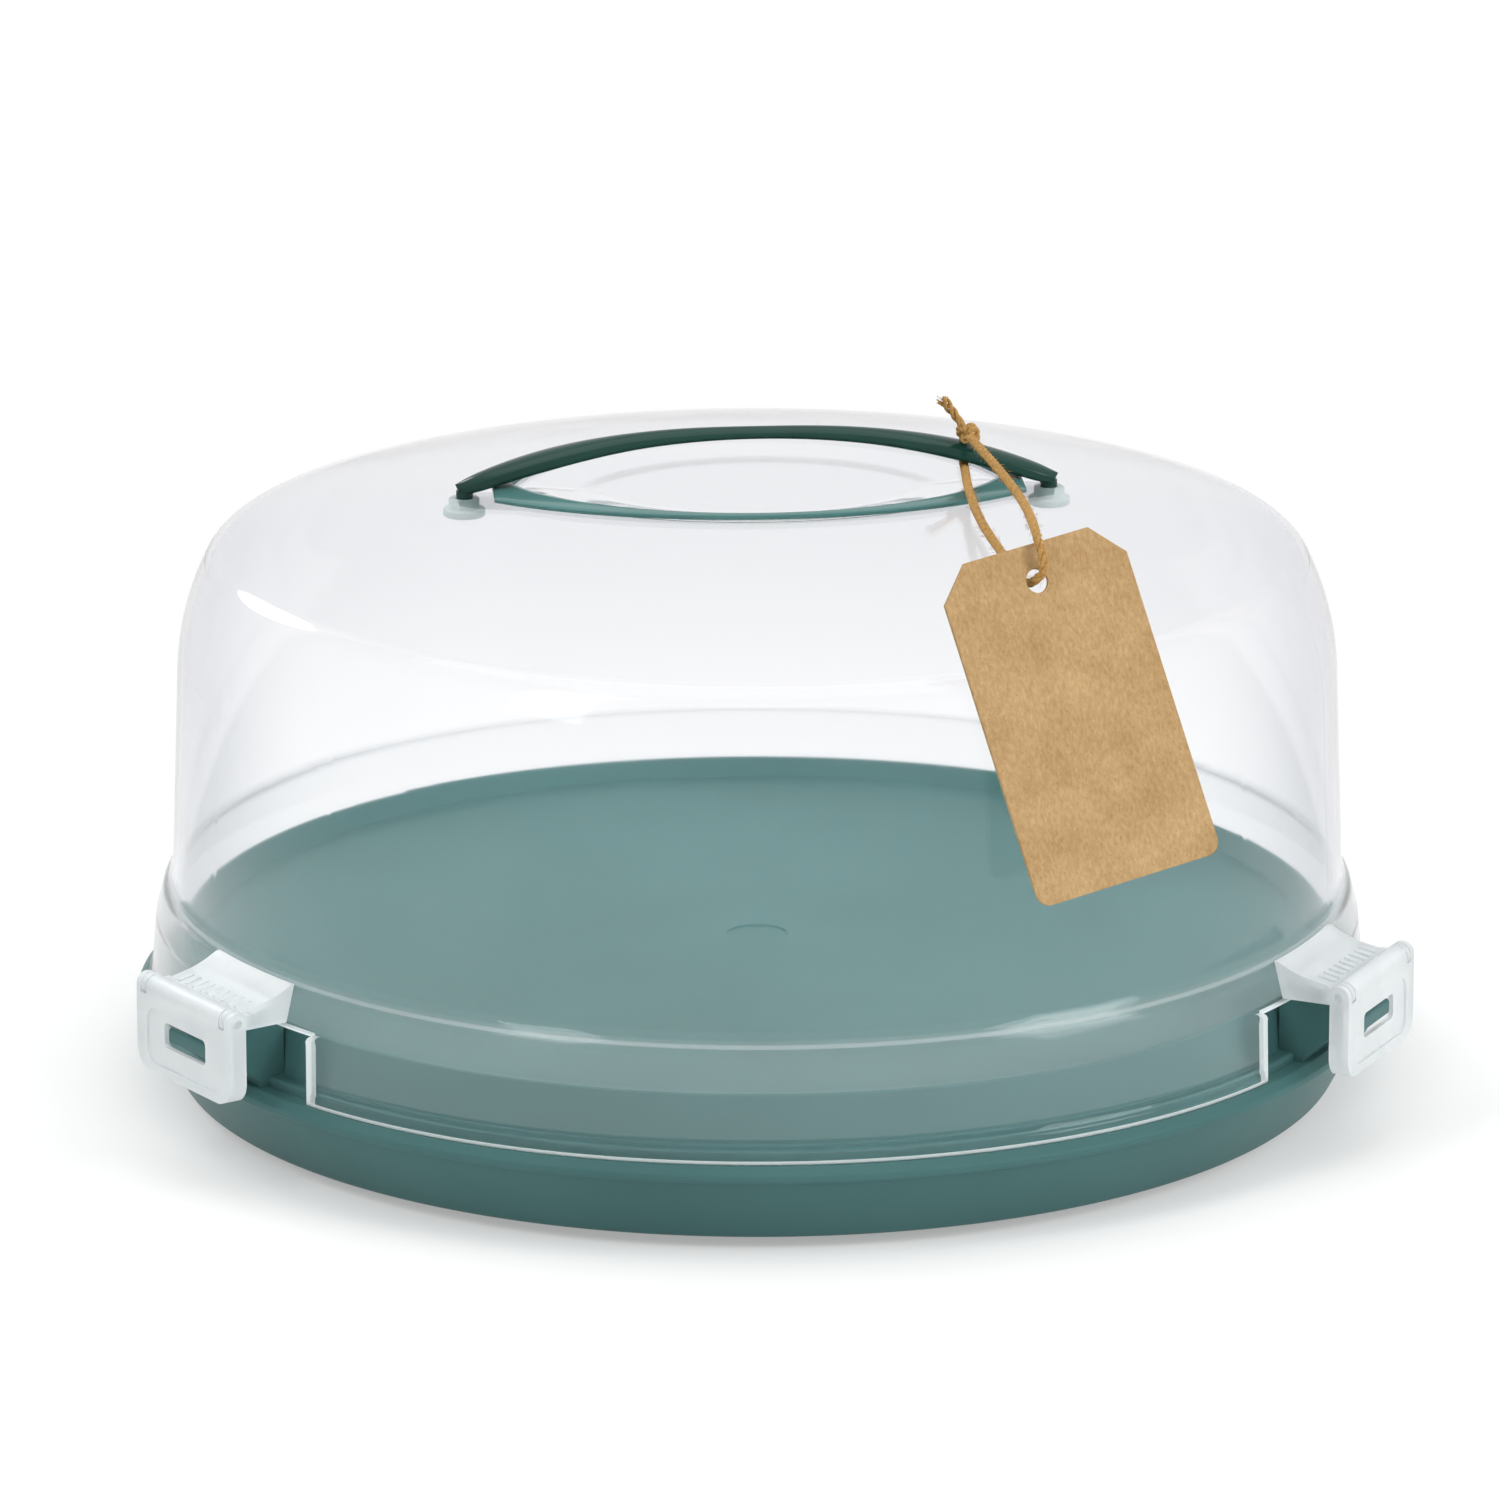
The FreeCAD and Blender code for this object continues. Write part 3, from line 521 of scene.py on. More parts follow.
def gloss_plastic(name, dark, pale):
    """Polished polypropylene between two near tones."""
    material, tree, output = start_material(name)
    place = add_node(tree, "ShaderNodeTexCoord").outputs["Object"]
    cloud = add_node(tree, "ShaderNodeTexNoise", inputs={
        "Vector": place, "Scale": 1 / (30 * MM), "Detail": 3.0})
    tint = add_node(tree, "ShaderNodeValToRGB", inputs={"Fac": cloud.outputs["Fac"]})
    tint.color_ramp.elements[0].position = 0.3
    tint.color_ramp.elements[0].color = from_hex(dark)
    tint.color_ramp.elements[1].position = 0.7
    tint.color_ramp.elements[1].color = from_hex(pale)
    grit = add_node(tree, "ShaderNodeTexNoise", inputs={
        "Vector": place, "Scale": 1 / (1.2 * MM), "Detail": 2.0})
    gloss = add_node(tree, "ShaderNodeMapRange", inputs={
        "Value": grit.outputs["Fac"], "To Min": 0.1, "To Max": 0.18})
    relief = add_node(tree, "ShaderNodeBump", inputs={
        "Height": grit.outputs["Fac"], "Strength": 0.05, "Distance": 0.04 * MM})
    skin = add_node(tree, "ShaderNodeBsdfPrincipled", inputs={
        "Base Color": tint.outputs["Color"], "Roughness": gloss.outputs["Result"],
        "Normal": relief.outputs["Normal"], "IOR": 1.49, "Specular IOR Level": 0.2})
    tree.links.new(skin.outputs["BSDF"], output.inputs["Surface"])
    return material


handle_plastic = gloss_plastic("gloss_polypropylene_dark_green", "#163831", "#1C4139")
ring_plastic = gloss_plastic("gloss_polypropylene_mid_green", "#4A7472", "#527E7B")
ring_arc = (ring_outer[0] ** 2 + ring_outer[1] ** 2) / (2 * ring_outer[1])
end_half_width = math.sqrt(ring_arc ** 2 - ring_end_reach ** 2) - (ring_arc - ring_outer[1])
end_turn = math.atan2(end_half_width, ring_end_reach)
quarter = [end_turn * k / 8 for k in range(8)]
quarter += [end_turn + (math.pi / 2 - end_turn) * k / 52 for k in range(52)]
half_round = quarter + [math.pi - turn for turn in [math.pi / 2] + quarter[:0:-1]]
ring_turns = half_round + [math.pi + turn for turn in half_round]
ring_columns = len(ring_turns)
ring_corners = []
ring_faces = []
ring_section = (
    (0.0, 0.0), (0.0, 0.7), (0.06, 0.93), (0.2, 1.0), (0.5, 1.0), (0.8, 1.0), (0.94, 0.93), (1.0, 0.7),
    (1.0, 0.0),
)
for j in range(ring_columns):
    angle = ring_turns[j]
    near = eye_reach(*ring_inner, angle)
    far = min(eye_reach(*ring_outer, angle), ring_end_reach / max(abs(math.cos(angle)), 0.01))
    for share, up in ring_section:
        r = near + (far - near) * share
        z = crown_height(r) + ring_lift + ring_thickness * up
        ring_corners.append(Vector((r * math.cos(angle), r * math.sin(angle), z)))
count = len(ring_section)
for j in range(ring_columns):
    k = (j + 1) % ring_columns
    for i in range(count):
        m = (i + 1) % count
        ring_faces.append((j * count + i, j * count + m, k * count + m, k * count + i))
ring = build_piece("handle_seat_trim", ring_corners, ring_faces, [ring_plastic])
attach(ring, "lid")
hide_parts("handle_seat_ring")


# Stud caps: small round retainers pushed on to the ends of the handle's studs under the crown. Moulded in a
# milky grey-green plastic, so that they show as faint discs through the crown.
cap_milky = clear_plastic("milky_moulded_plastic", "#B4C5C2", "#B4C5C2", 0.25, 0.25, 0.35)
stud_place = 80.5
cap_foot = crown_height(stud_place) - 7.0
cap_outline = (
    (0.0, 0.0, 0.0), (5.8, 0.0, 0.4), (5.8, 2.0, 0.4), (4.2, 2.0, 0.3), (4.2, 4.8, 0.2), (2.5, 4.8, 0.2),
    (2.5, 1.0, 0.0), (0.0, 1.0, 0.0),
)
cap_corners, cap_faces = turned(rounded(cap_outline), 64)
for side, name in ((-1, "left"), (1, "right")):
    moved = [corner + Vector((side * stud_place, 0.0, cap_foot)) for corner in cap_corners]
    cap = build_piece("stud_retainer_" + name, moved, cap_faces, [cap_milky])
    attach(cap, "lid")
    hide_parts("handle_stud_cap_" + name)


# Grip: an arched bar with a flat underside, leaning faces and a rounded back, waisted in the middle and
# drawn to a tip at each end. A stud under each tip goes through the crown.
grip_half_length = 82.5
grip_foot = 167.15
grip_rise = 14.8
grip_arch = 2.4
grip_width = 13.2
grip_thickness = 4.6
grip_places = (-1.0, -0.92, -0.7, -0.35, 0.0, 0.35, 0.7, 0.92, 1.0)
grip_widths = (0.42, 0.78, 1.0, 0.76, 0.66, 0.76, 1.0, 0.78, 0.42)
grip_tops = (0.34, 0.66, 0.86, 0.54, 0.42, 0.54, 0.86, 0.66, 0.34)
grip_depths = (0.7, 0.92, 1.0, 0.8, 0.66, 0.8, 1.0, 0.92, 0.7)
grip_stations = 112
grip_nose = 0.035


def eased(place, values):
    """Value at a place along the grip, on a smooth line through the values at its stations."""
    spans = len(grip_places) - 1
    i = min(max([k for k in range(spans) if grip_places[k] <= place] or [0]), spans - 1)
    slopes = []
    for k in (i, i + 1):
        low, high = max(k - 1, 0), min(k + 1, spans)
        slopes.append((values[high] - values[low]) / (grip_places[high] - grip_places[low]))
    span = grip_places[i + 1] - grip_places[i]
    t = (place - grip_places[i]) / span
    return (values[i] * (2 * t ** 3 - 3 * t ** 2 + 1) + slopes[0] * span * (t ** 3 - 2 * t ** 2 + t)
            + values[i + 1] * (3 * t ** 2 - 2 * t ** 3) + slopes[1] * span * (t ** 3 - t ** 2))


def grip_height(place):
    return grip_foot + grip_rise * (1 - abs(place) ** grip_arch)


grip_corners = []
grip_faces = []
for s in range(grip_stations + 1):
    place = -math.cos(math.pi * s / grip_stations)
    tip = math.sqrt(max(1 - max(abs(place) - 1 + grip_nose, 0.0) ** 2 / grip_nose ** 2, 0.0))
    half = grip_width * eased(place, grip_widths) / 2 * max(tip, 0.05)
    top = grip_width * eased(place, grip_tops) / 2 * max(tip, 0.05)
    deep = grip_thickness * eased(place, grip_depths)
    slope = grip_arch * grip_rise / grip_half_length * abs(place) ** (grip_arch - 1)
    lean = math.copysign(math.atan(slope), place)
    up = Vector((math.sin(lean), 0.0, math.cos(lean)))
    foot = Vector((place * grip_half_length, 0.0, grip_height(place))) - up * (deep / 2)
    shoulder = deep * 0.62
    soft = min(0.9, half * 0.3)
    outline = [(-half, 0.0, soft), (half, 0.0, soft), (top, shoulder, min(0.7, top * 0.3))]
    for k in range(1, 8):
        turn = 1 - k / 4
        outline.append((top * turn, shoulder + (deep - shoulder) * (1 - turn ** 2), 0.0))
    outline.append((-top, shoulder, min(0.7, top * 0.3)))
    section = rounded(outline, 3)
    for point in section:
        grip_corners.append(foot + Vector((0.0, point.x, 0.0)) + up * point.y)
count = len(section)
for s in range(grip_stations):
    for i in range(count):
        m = (i + 1) % count
        grip_faces.append((s * count + i, s * count + m, (s + 1) * count + m, (s + 1) * count + i))
grip_faces.append(tuple(range(count)))
grip_faces.append(tuple(reversed(range(grip_stations * count, (grip_stations + 1) * count))))
stud_outline = rounded(((0.0, 0.0, 0.0), (2.4, 0.0, 0.3), (2.4, 7.0, 0.0), (0.0, 7.0, 0.0)))
stud_corners, stud_faces = turned(stud_outline, 32)
for side in (-1, 1):
    first = len(grip_corners)
    for corner in stud_corners:
        grip_corners.append(corner + Vector((side * stud_place, 0.0, cap_foot + 1.1)))
    grip_faces += [tuple(first + k for k in face) for face in stud_faces]
grip = build_piece("carrying_grip", grip_corners, grip_faces, [handle_plastic], 50)
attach(grip, "lid")
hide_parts("handle_grip")


# Side clips: a bracket on the lid's collar, a hinge pin and a flap whose slot drops over the tray's tongue.
# Frosted, milky polypropylene mouldings, kept in their solid shapes with the edges broken.
# Frosted polypropylene: translucent and nearly white, greyer in its hollows, with a soft matt skin.
clip_frosted, tree, output = start_material("frosted_translucent_polypropylene")
place = add_node(tree, "ShaderNodeTexCoord").outputs["Object"]
cloud = add_node(tree, "ShaderNodeTexNoise", inputs={"Vector": place, "Scale": 1 / (9 * MM), "Detail": 3.0})
tint = add_node(tree, "ShaderNodeValToRGB", inputs={"Fac": cloud.outputs["Fac"]})
tint.color_ramp.elements[0].position = 0.3
tint.color_ramp.elements[0].color = from_hex("#F0F3F4")
tint.color_ramp.elements[1].position = 0.7
tint.color_ramp.elements[1].color = from_hex("#F6F8F9")
grit = add_node(tree, "ShaderNodeTexNoise", inputs={
    "Vector": place, "Scale": 1 / (0.7 * MM), "Detail": 2.0})
gloss = add_node(tree, "ShaderNodeMapRange", inputs={
    "Value": grit.outputs["Fac"], "To Min": 0.34, "To Max": 0.5})
relief = add_node(tree, "ShaderNodeBump", inputs={
    "Height": grit.outputs["Fac"], "Strength": 0.12, "Distance": 0.05 * MM})
skin = add_node(tree, "ShaderNodeBsdfPrincipled", inputs={
    "Base Color": tint.outputs["Color"], "Roughness": gloss.outputs["Result"],
    "Normal": relief.outputs["Normal"], "IOR": 1.49, "Transmission Weight": 0.55})
pass_on = add_node(tree, "ShaderNodeBsdfTransparent", inputs={"Color": from_hex("#C4CCCB")})
ray = add_node(tree, "ShaderNodeLightPath")
choice = add_node(tree, "ShaderNodeMixShader", inputs={"Fac": ray.outputs["Is Shadow Ray"]})
tree.links.new(skin.outputs["BSDF"], choice.inputs[1])
tree.links.new(pass_on.outputs["BSDF"], choice.inputs[2])
tree.links.new(choice.outputs["Shader"], output.inputs["Surface"])

for kind in ("clip_bracket_", "clip_flap_", "clip_pin_"):
    for side in clip_angles:
        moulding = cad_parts[kind + side]
        moulding.material_slots[0].material = clip_frosted
        flat = moulding.modifiers.new("whole_faces", "DECIMATE")
        flat.decimate_type = "DISSOLVE"
        flat.angle_limit = math.radians(2.0)
        broken = moulding.modifiers.new("broken_edges", "BEVEL")
        broken.width = (0.3 if kind == "clip_pin_" else 0.8) * MM
        broken.segments = 3
        broken.limit_method = "ANGLE"
        broken.angle_limit = math.radians(35.0)
        broken.use_clamp_overlap = True


# Card tag: brown kraft board with two cut corners and a punched hole, hung on the twine against the lid's
# right shoulder. Both faces are blank.
tag_width = 57.0
tag_length = 92.2
tag_half_thickness = 0.5
tag_edge = 0.12
tag_cut = 9.1
tag_hole_radius = 3.2
tag_hole_inset = 9.8
tag_place = Vector((63.395, -127.894, 172.498))
tag_across = Vector((0.8888, 0.4419, 0.1214))
tag_up = Vector((-0.2777, 0.3088, 0.9097))
tag_front = tag_across.cross(tag_up)

# Kraft board: warm brown, quite matt, with short pale and dark fibres of a few millimetres, fine specks and
# a faintly felted surface.
kraft, tree, output = start_material("kraft_board_uncoated")
place = add_node(tree, "ShaderNodeTexCoord").outputs["Object"]
stretch = add_node(tree, "ShaderNodeMapping", inputs={"Vector": place, "Scale": (1.0, 1.0, 0.28)})
fibre = add_node(tree, "ShaderNodeTexNoise", inputs={
    "Vector": stretch.outputs["Vector"], "Scale": 1 / (0.9 * MM), "Detail": 5.0, "Roughness": 0.7})
cloud = add_node(tree, "ShaderNodeTexNoise", inputs={
    "Vector": place, "Scale": 1 / (14 * MM), "Detail": 3.0})
blend = add_node(tree, "ShaderNodeMix", {"data_type": "FLOAT"}, {
    "Factor": 0.35, "A": fibre.outputs["Fac"], "B": cloud.outputs["Fac"]})
tint = add_node(tree, "ShaderNodeValToRGB", inputs={"Fac": blend.outputs["Result"]})
tint.color_ramp.elements[0].position = 0.32
tint.color_ramp.elements[0].color = from_hex("#9B794D")
tint.color_ramp.elements[1].position = 0.68
tint.color_ramp.elements[1].color = from_hex("#C0A276")
speck = add_node(tree, "ShaderNodeTexVoronoi", inputs={"Vector": place, "Scale": 1 / (1.6 * MM)})
dot = add_node(tree, "ShaderNodeMapRange", inputs={
    "Value": speck.outputs["Distance"], "From Min": 0.08, "From Max": 0.2, "To Min": 0.5, "To Max": 0.0})
paper = add_node(tree, "ShaderNodeMix", {"data_type": "RGBA"}, {
    "Factor": dot.outputs["Result"], "A": tint.outputs["Color"], "B": from_hex("#8A673C")})
relief = add_node(tree, "ShaderNodeBump", inputs={
    "Height": fibre.outputs["Fac"], "Strength": 0.25, "Distance": 0.08 * MM})
matt = add_node(tree, "ShaderNodeMapRange", inputs={
    "Value": fibre.outputs["Fac"], "To Min": 0.75, "To Max": 0.95})
skin = add_node(tree, "ShaderNodeBsdfPrincipled", inputs={
    "Base Color": paper.outputs["Result"], "Roughness": matt.outputs["Result"],
    "Normal": relief.outputs["Normal"], "IOR": 1.45, "Specular IOR Level": 0.25})
tree.links.new(skin.outputs["BSDF"], output.inputs["Surface"])

half = tag_width / 2
card_line = rounded((
    (-half + tag_cut, tag_hole_inset, 0.3), (half - tag_cut, tag_hole_inset, 0.3),
    (half, tag_hole_inset - tag_cut, 0.3), (half, tag_hole_inset - tag_length, 4.0),
    (-half, tag_hole_inset - tag_length, 4.0), (-half, tag_hole_inset - tag_cut, 0.3)), 6)
corner_bearings = {round(math.atan2(p.y, p.x), 5) for p in card_line}
bearings = sorted(corner_bearings | {-math.pi + math.pi * k / 48 for k in range(96)})


def card_reach(bearing):
    """Distance from the hole's middle to the card's edge in one direction."""
    ray_line = Vector((math.cos(bearing), math.sin(bearing)))
    best = 0.0
    for a, b in zip(card_line, card_line[1:] + card_line[:1]):
        run = b - a
        det = ray_line.x * -run.y + run.x * ray_line.y
        if abs(det) < 1e-9:
            continue
        t = (a.x * -run.y + run.x * a.y) / det
        u = (ray_line.x * a.y - ray_line.y * a.x) / det
        if t > 0 and -0.0001 <= u <= 1.0001:
            best = max(best, t)
    return best


tag_corners = []
tag_faces = []
for bearing in bearings:
    edge = card_reach(bearing)
    hole = tag_hole_radius
    face = tag_half_thickness
    midway = edge * 0.55 + hole * 0.45
    ring_rows = (
        (hole, -face + tag_edge), (hole, face - tag_edge), (hole + tag_edge, face), (midway, face),
        (edge - tag_edge, face), (edge, face - tag_edge), (edge, -face + tag_edge), (edge - tag_edge, -face),
        (midway, -face), (hole + tag_edge, -face),
    )
    way = tag_across * math.cos(bearing) + tag_up * math.sin(bearing)
    for reach, out in ring_rows:
        tag_corners.append(tag_place + way * reach + tag_front * out)
count = len(ring_rows)
for j in range(len(bearings)):
    k = (j + 1) % len(bearings)
    for i in range(count):
        m = (i + 1) % count
        tag_faces.append((j * count + i, j * count + m, k * count + m, k * count + i))
tag = build_piece("kraft_tag", tag_corners, tag_faces, [kraft])
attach(tag, "tag")
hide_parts("swing_tag")


# Twine: three jute strands laid up by twisting, tied round the grip in a loop that carries the tag through
# its hole. The ends meet in an overhand knot above the grip, and one short tail frays.
twine_lay = 8.5
strand_offset = 0.62
strand_radius = 0.68
twine_route = (
    (57.8, -5.0, 180.9), (58.9, -15.0, 180.9), (60.8, -29.0, 180.8), (62.6, -44.0, 180.6),
    (64.0, -59.0, 180.6), (64.9, -74.0, 180.9), (65.1, -91.0, 181.7), (64.4, -108.0, 183.2),
    (63.4, -125.8, 185.2), (65.9, -130.4, 176.4), (62.6, -126.2, 171.4), (60.4, -118.6, 169.8),
    (58.9, -106.0, 170.6), (57.6, -92.0, 171.4), (56.3, -79.0, 171.8), (55.4, -66.0, 172.0),
    (55.1, -50.0, 172.0), (55.3, -34.0, 171.8), (56.0, -18.0, 171.7), (56.8, -5.0, 171.5),
    (57.6, 9.2, 171.4), (57.8, 9.2, 178.6), (57.8, -2.6, 181.2),
)
knot_place = Vector((57.8, -4.0, 181.3))
tail_route = ((56.4, -3.9, 183.0), (53.8, -3.7, 187.2), (50.6, -3.5, 191.0))

# Jute: straw brown, dull, with long pale and dark fibres along each strand.
jute, tree, output = start_material("jute_twine_natural")
place = add_node(tree, "ShaderNodeTexCoord").outputs["Object"]
fibre = add_node(tree, "ShaderNodeTexNoise", inputs={
    "Vector": place, "Scale": 1 / (0.7 * MM), "Detail": 5.0, "Roughness": 0.7})
tint = add_node(tree, "ShaderNodeValToRGB", inputs={"Fac": fibre.outputs["Fac"]})
tint.color_ramp.elements[0].position = 0.3
tint.color_ramp.elements[0].color = from_hex("#8E6834")
tint.color_ramp.elements[1].position = 0.7
tint.color_ramp.elements[1].color = from_hex("#CDA466")
relief = add_node(tree, "ShaderNodeBump", inputs={
    "Height": fibre.outputs["Fac"], "Strength": 0.5, "Distance": 0.15 * MM})
matt = add_node(tree, "ShaderNodeMapRange", inputs={
    "Value": fibre.outputs["Fac"], "To Min": 0.7, "To Max": 0.95})
skin = add_node(tree, "ShaderNodeBsdfPrincipled", inputs={
    "Base Color": tint.outputs["Color"], "Roughness": matt.outputs["Result"],
    "Normal": relief.outputs["Normal"], "Specular IOR Level": 0.2})
tree.links.new(skin.outputs["BSDF"], output.inputs["Surface"])


def spline_points(name, route):
    """Points, in millimetres, of a smooth line whose control points are the route."""
    line = bpy.data.curves.new(name, "CURVE")
    line.dimensions = "3D"
    spline = line.splines.new("NURBS")
    spline.points.add(len(route) - 1)
    for point, (x, y, z) in zip(spline.points, route):
        point.co = (x * MM, y * MM, z * MM, 1.0)
    spline.order_u = 3
    spline.use_endpoint_u = True
    spline.resolution_u = 20
    holder = bpy.data.objects.new(name, line)
    scene.collection.objects.link(holder)
    drawn = bpy.data.meshes.new_from_object(holder)
    points = [v.co / MM for v in drawn.vertices]
    bpy.data.objects.remove(holder)
    bpy.data.meshes.remove(drawn)
    return points


def add_tube(corners, faces, points, radii, sides):
    """A round tube along points, closed at both ends, with a radius at each point."""
    side = None
    rows = []
    for i, point in enumerate(points):
        on = (points[min(i + 1, len(points) - 1)] - points[max(i - 1, 0)]).normalized()
        if side is None:
            side = on.orthogonal()
        side = (side - on * side.dot(on)).normalized()
        other = on.cross(side)
        rows.append(len(corners))
        for k in range(sides):
            angle = 2 * math.pi * k / sides
            corners.append(point + (side * math.cos(angle) + other * math.sin(angle)) * radii[i])
    for low, high in zip(rows[:-1], rows[1:]):
        for k in range(sides):
            m = (k + 1) % sides
            faces.append((low + k, low + m, high + m, high + k))
    faces.append(tuple(reversed(range(rows[0], rows[0] + sides))))
    faces.append(tuple(range(rows[-1], rows[-1] + sides)))


def laid_strands(points, offsets, lay):
    """Three lines twisted round the line of points, each point with its own offset."""
    strands = [[], [], []]
    side = None
    travel = 0.0
    for i, point in enumerate(points):
        on = (points[min(i + 1, len(points) - 1)] - points[max(i - 1, 0)]).normalized()
        if side is None:
            side = on.orthogonal()
        side = (side - on * side.dot(on)).normalized()
        other = on.cross(side)
        if i:
            travel += (point - points[i - 1]).length
        for k in range(3):
            angle = 2 * math.pi * (travel / lay + k / 3)
            strands[k].append(point + (side * math.cos(angle) + other * math.sin(angle)) * offsets[i])
    return strands


twine_line = spline_points("twine_line", twine_route)
twine_corners = []
twine_faces = []
for strand in laid_strands(twine_line, [strand_offset] * len(twine_line), twine_lay):
    add_tube(twine_corners, twine_faces, strand, [strand_radius] * len(strand), 9)
twine = build_piece("jute_twine", twine_corners, twine_faces, [jute], 60)

# The knot is one strand path wound three times round itself, drawn tight.
knot_line = []
for k in range(121):
    t = 2 * math.pi * k / 120
    knot_line.append(knot_place + Vector((
        0.86 * (math.sin(t) + 2 * math.sin(2 * t)),
        0.80 * (math.cos(t) - 2 * math.cos(2 * t)),
        -1.5 * math.sin(3 * t))))
knot_corners = []
knot_faces = []
for strand in laid_strands(knot_line, [0.52] * len(knot_line), 6.0):
    add_tube(knot_corners, knot_faces, strand, [0.6] * len(strand), 8)
knot = build_piece("jute_knot", knot_corners, knot_faces, [jute], 60)

# The tail's strands open towards its cut end and break up into single fibres.
tail_line = spline_points("tail_line", tail_route)
tail_corners = []
tail_faces = []
last = len(tail_line) - 1
spread = [0.55 + 0.75 * (i / last) ** 2 for i in range(last + 1)]
for strand in laid_strands(tail_line, spread, 9.0):
    add_tube(tail_corners, tail_faces, strand, [0.62 - 0.2 * (i / last) ** 2 for i in range(last + 1)], 8)
chance = random.Random(7)
for _ in range(26):
    start = chance.randint(last // 3, last - 4)
    way = Vector((chance.uniform(-1, 1), chance.uniform(-1, 1), chance.uniform(-0.6, 0.6)))
    hair = []
    for i in range(start, last + 1):
        share = (i - start) / (last - start)
        hair.append(tail_line[i] + way * (0.5 + 1.3 * share ** 1.4))
    add_tube(tail_corners, tail_faces, hair, [0.09] * len(hair), 4)
tail = build_piece("jute_tail", tail_corners, tail_faces, [jute], 60)

# Loose fibres stand off the twine, a millimetre or two long.
fluff_corners = []
fluff_faces = []
for _ in range(420):
    i = chance.randint(4, len(twine_line) - 6)
    on = (twine_line[i + 1] - twine_line[i]).normalized()
    out = on.orthogonal()
    out.rotate(Quaternion(on, chance.uniform(0, 2 * math.pi)))
    length = chance.uniform(1.2, 3.2)
    lift = chance.uniform(0.2, 0.75)
    root = twine_line[i] + out * 1.1
    hair = [root + on * (length * t) + out * (lift * t ** 1.5) for t in (0.0, 0.33, 0.66, 1.0)]
    add_tube(fluff_corners, fluff_faces, hair, [0.05, 0.05, 0.045, 0.03], 3)
fluff = build_piece("jute_fibres", fluff_corners, fluff_faces, [jute], 60)

for piece, node in ((twine, "twine"), (knot, "twine_knot"), (tail, "twine_tail")):
    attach(piece, "lid")
    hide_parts(node)
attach(fluff, "lid")


# Studio: a plain white floor that keeps the soft shadow, one broad lamp overhead, a tall lamp at each side,
# a small round one behind the left shoulder and an even white room.
floor_white, tree, output = start_material("matt_white_floor")
place = add_node(tree, "ShaderNodeTexCoord").outputs["Object"]
cloud = add_node(tree, "ShaderNodeTexNoise", inputs={"Vector": place, "Scale": 2.0, "Detail": 2.0})
tint = add_node(tree, "ShaderNodeValToRGB", inputs={"Fac": cloud.outputs["Fac"]})
tint.color_ramp.elements[0].color = from_hex("#F9F9F9")
tint.color_ramp.elements[1].color = from_hex("#FCFCFC")
matt = add_node(tree, "ShaderNodeBsdfDiffuse", inputs={"Color": tint.outputs["Color"]})
ray = add_node(tree, "ShaderNodeLightPath")
seen = add_node(tree, "ShaderNodeMath", {"operation": "MAXIMUM"}, {
    0: ray.outputs["Is Camera Ray"], 1: ray.outputs["Is Glossy Ray"]})
shown = add_node(tree, "ShaderNodeMath", {"operation": "MAXIMUM"}, {
    0: seen.outputs[0], 1: ray.outputs["Is Transmission Ray"]})
away = add_node(tree, "ShaderNodeVectorMath", {"operation": "LENGTH"}, {0: place})
far_off = add_node(tree, "ShaderNodeMapRange", {"interpolation_type": "SMOOTHSTEP"}, {
    "Value": away.outputs["Value"], "From Min": 0.2, "From Max": 0.6, "To Min": 0.35})
plain = add_node(tree, "ShaderNodeMath", {"operation": "MULTIPLY"}, {
    0: shown.outputs[0], 1: far_off.outputs["Result"]})
white = add_node(tree, "ShaderNodeEmission", inputs={"Color": from_hex("#FFFFFF")})
blend = add_node(tree, "ShaderNodeMixShader", inputs={"Fac": plain.outputs[0]})
tree.links.new(matt.outputs["BSDF"], blend.inputs[1])
tree.links.new(white.outputs["Emission"], blend.inputs[2])
tree.links.new(blend.outputs["Shader"], output.inputs["Surface"])
floor_mesh = bpy.data.meshes.new("floor")
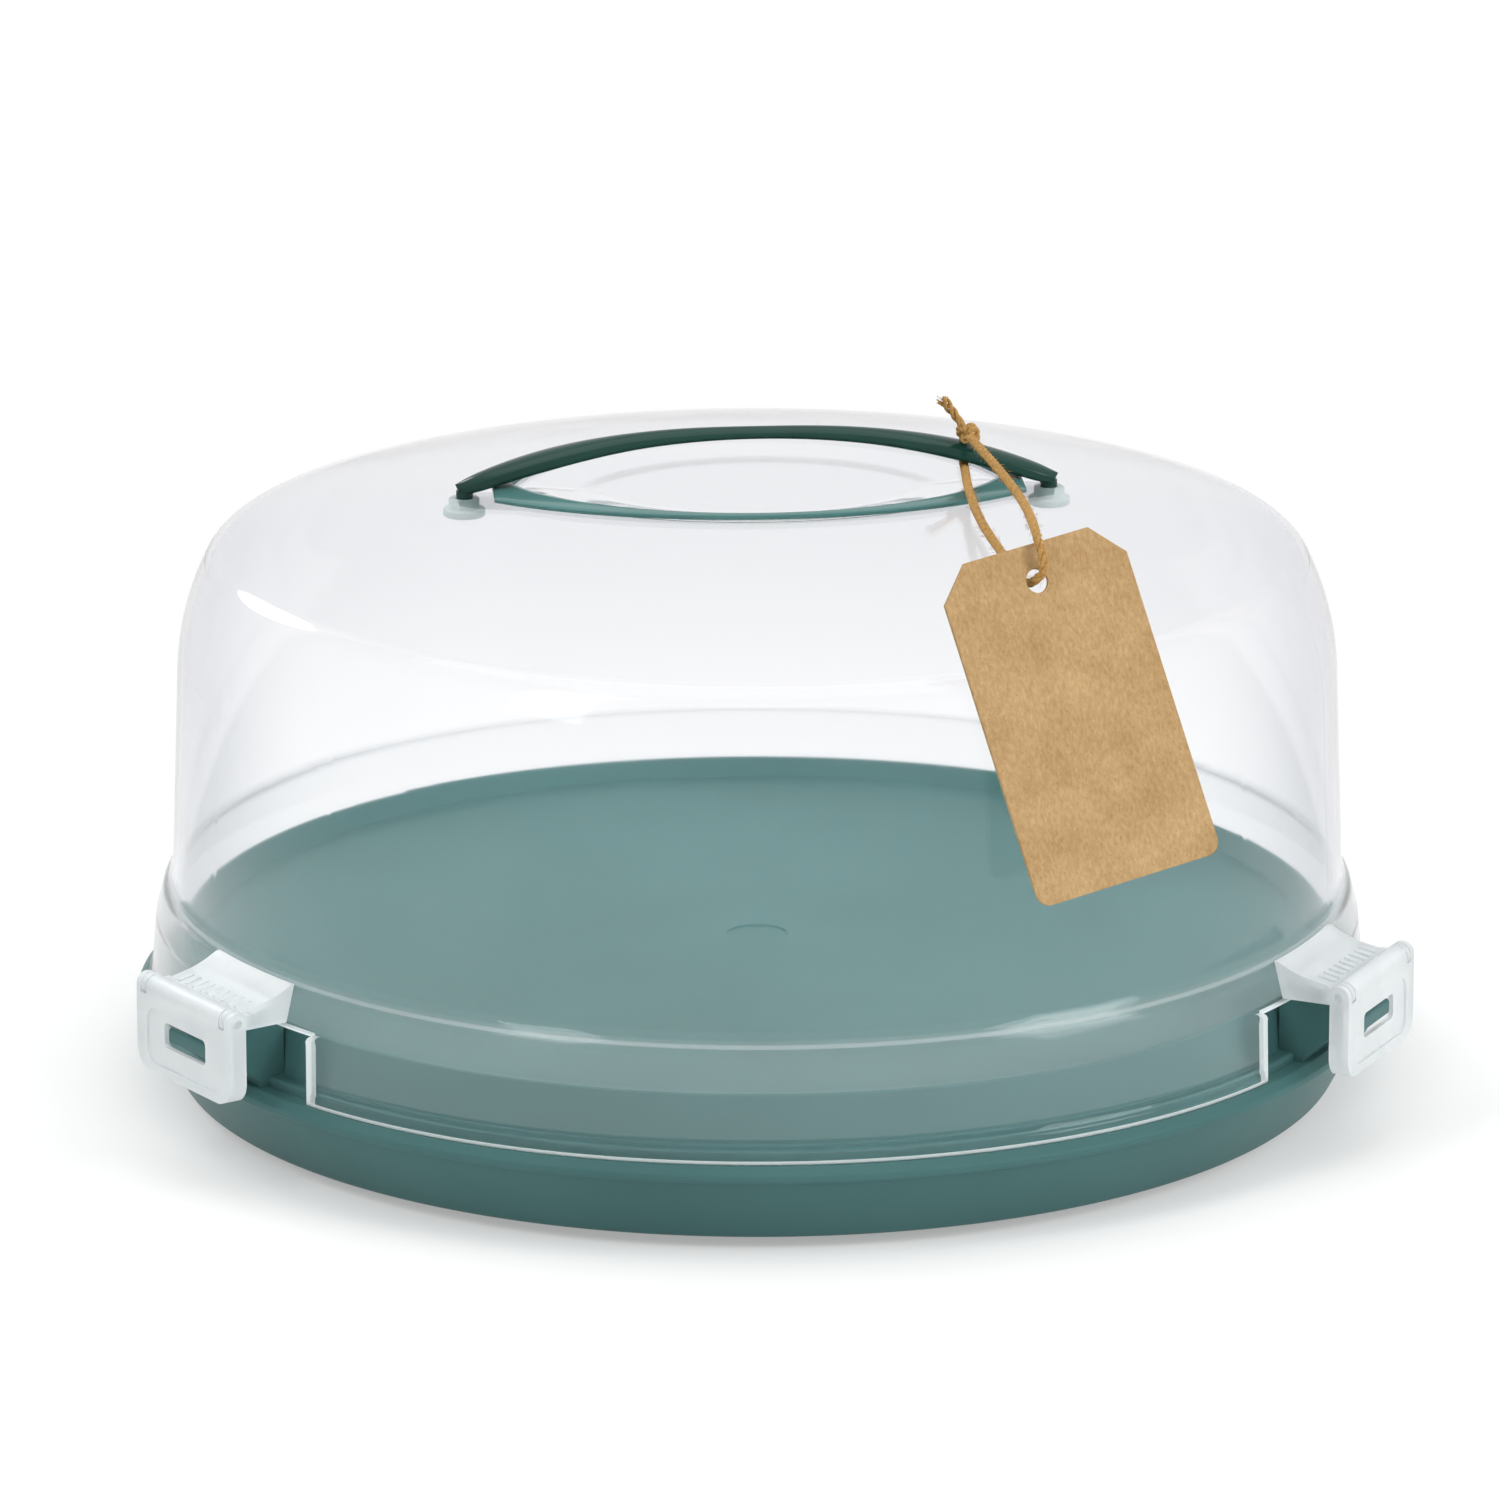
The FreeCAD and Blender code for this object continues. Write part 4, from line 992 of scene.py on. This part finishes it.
floor_mesh.from_pydata([(-6, -4, 0), (6, -4, 0), (6, 10, 0), (-6, 10, 0)], [], [(0, 1, 2, 3)])
floor_mesh.materials.append(floor_white)
floor = bpy.data.objects.new("floor", floor_mesh)
scene.collection.objects.link(floor)
floor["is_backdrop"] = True

room = bpy.data.worlds.new("white_room")
room.use_nodes = True
tree = room.node_tree
tree.nodes.clear()
output = add_node(tree, "ShaderNodeOutputWorld")
ray = add_node(tree, "ShaderNodeLightPath")
seen = add_node(tree, "ShaderNodeMath", {"operation": "MAXIMUM"}, {
    0: ray.outputs["Is Camera Ray"], 1: ray.outputs["Is Glossy Ray"]})
shown = add_node(tree, "ShaderNodeMath", {"operation": "MAXIMUM"}, {
    0: seen.outputs[0], 1: ray.outputs["Is Transmission Ray"]})
level = add_node(tree, "ShaderNodeMapRange", inputs={
    "Value": shown.outputs[0], "To Min": 0.55, "To Max": 1.0})
glow = add_node(tree, "ShaderNodeBackground", inputs={
    "Color": from_hex("#FFFFFF"), "Strength": level.outputs["Result"]})
tree.links.new(glow.outputs["Background"], output.inputs["Surface"])
scene.world = room

for name, spot, aim, wide, high, watts in (
        ("overhead_lamp", (0.0, 0.1, 2.2), (0.0, 0.0, 0.1), 2.2, 2.2, 16.0),
        ("left_lamp", (-1.5, -1.3, 1.8), (0.0, 0.0, 0.1), 0.7, 1.4, 18.0),
        ("right_lamp", (1.9, -1.1, 1.1), (0.0, 0.0, 0.1), 1.0, 1.4, 26.0),
        ("back_lamp", (-0.95, 1.3, 1.0), (-0.13, -0.07, 0.15), 0.6, 0.6, 6.0)):
    light = bpy.data.lights.new(name, "AREA")
    light.shape = "ELLIPSE" if name == "back_lamp" else "RECTANGLE"
    light.size = wide
    light.size_y = high
    light.energy = watts
    lamp = bpy.data.objects.new(name, light)
    lamp.location = spot
    lamp.rotation_euler = (Vector(aim) - Vector(spot)).to_track_quat("-Z", "Y").to_euler()
    lamp.visible_camera = False
    lamp.visible_glossy = name != "left_lamp"
    scene.collection.objects.link(lamp)

low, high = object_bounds()
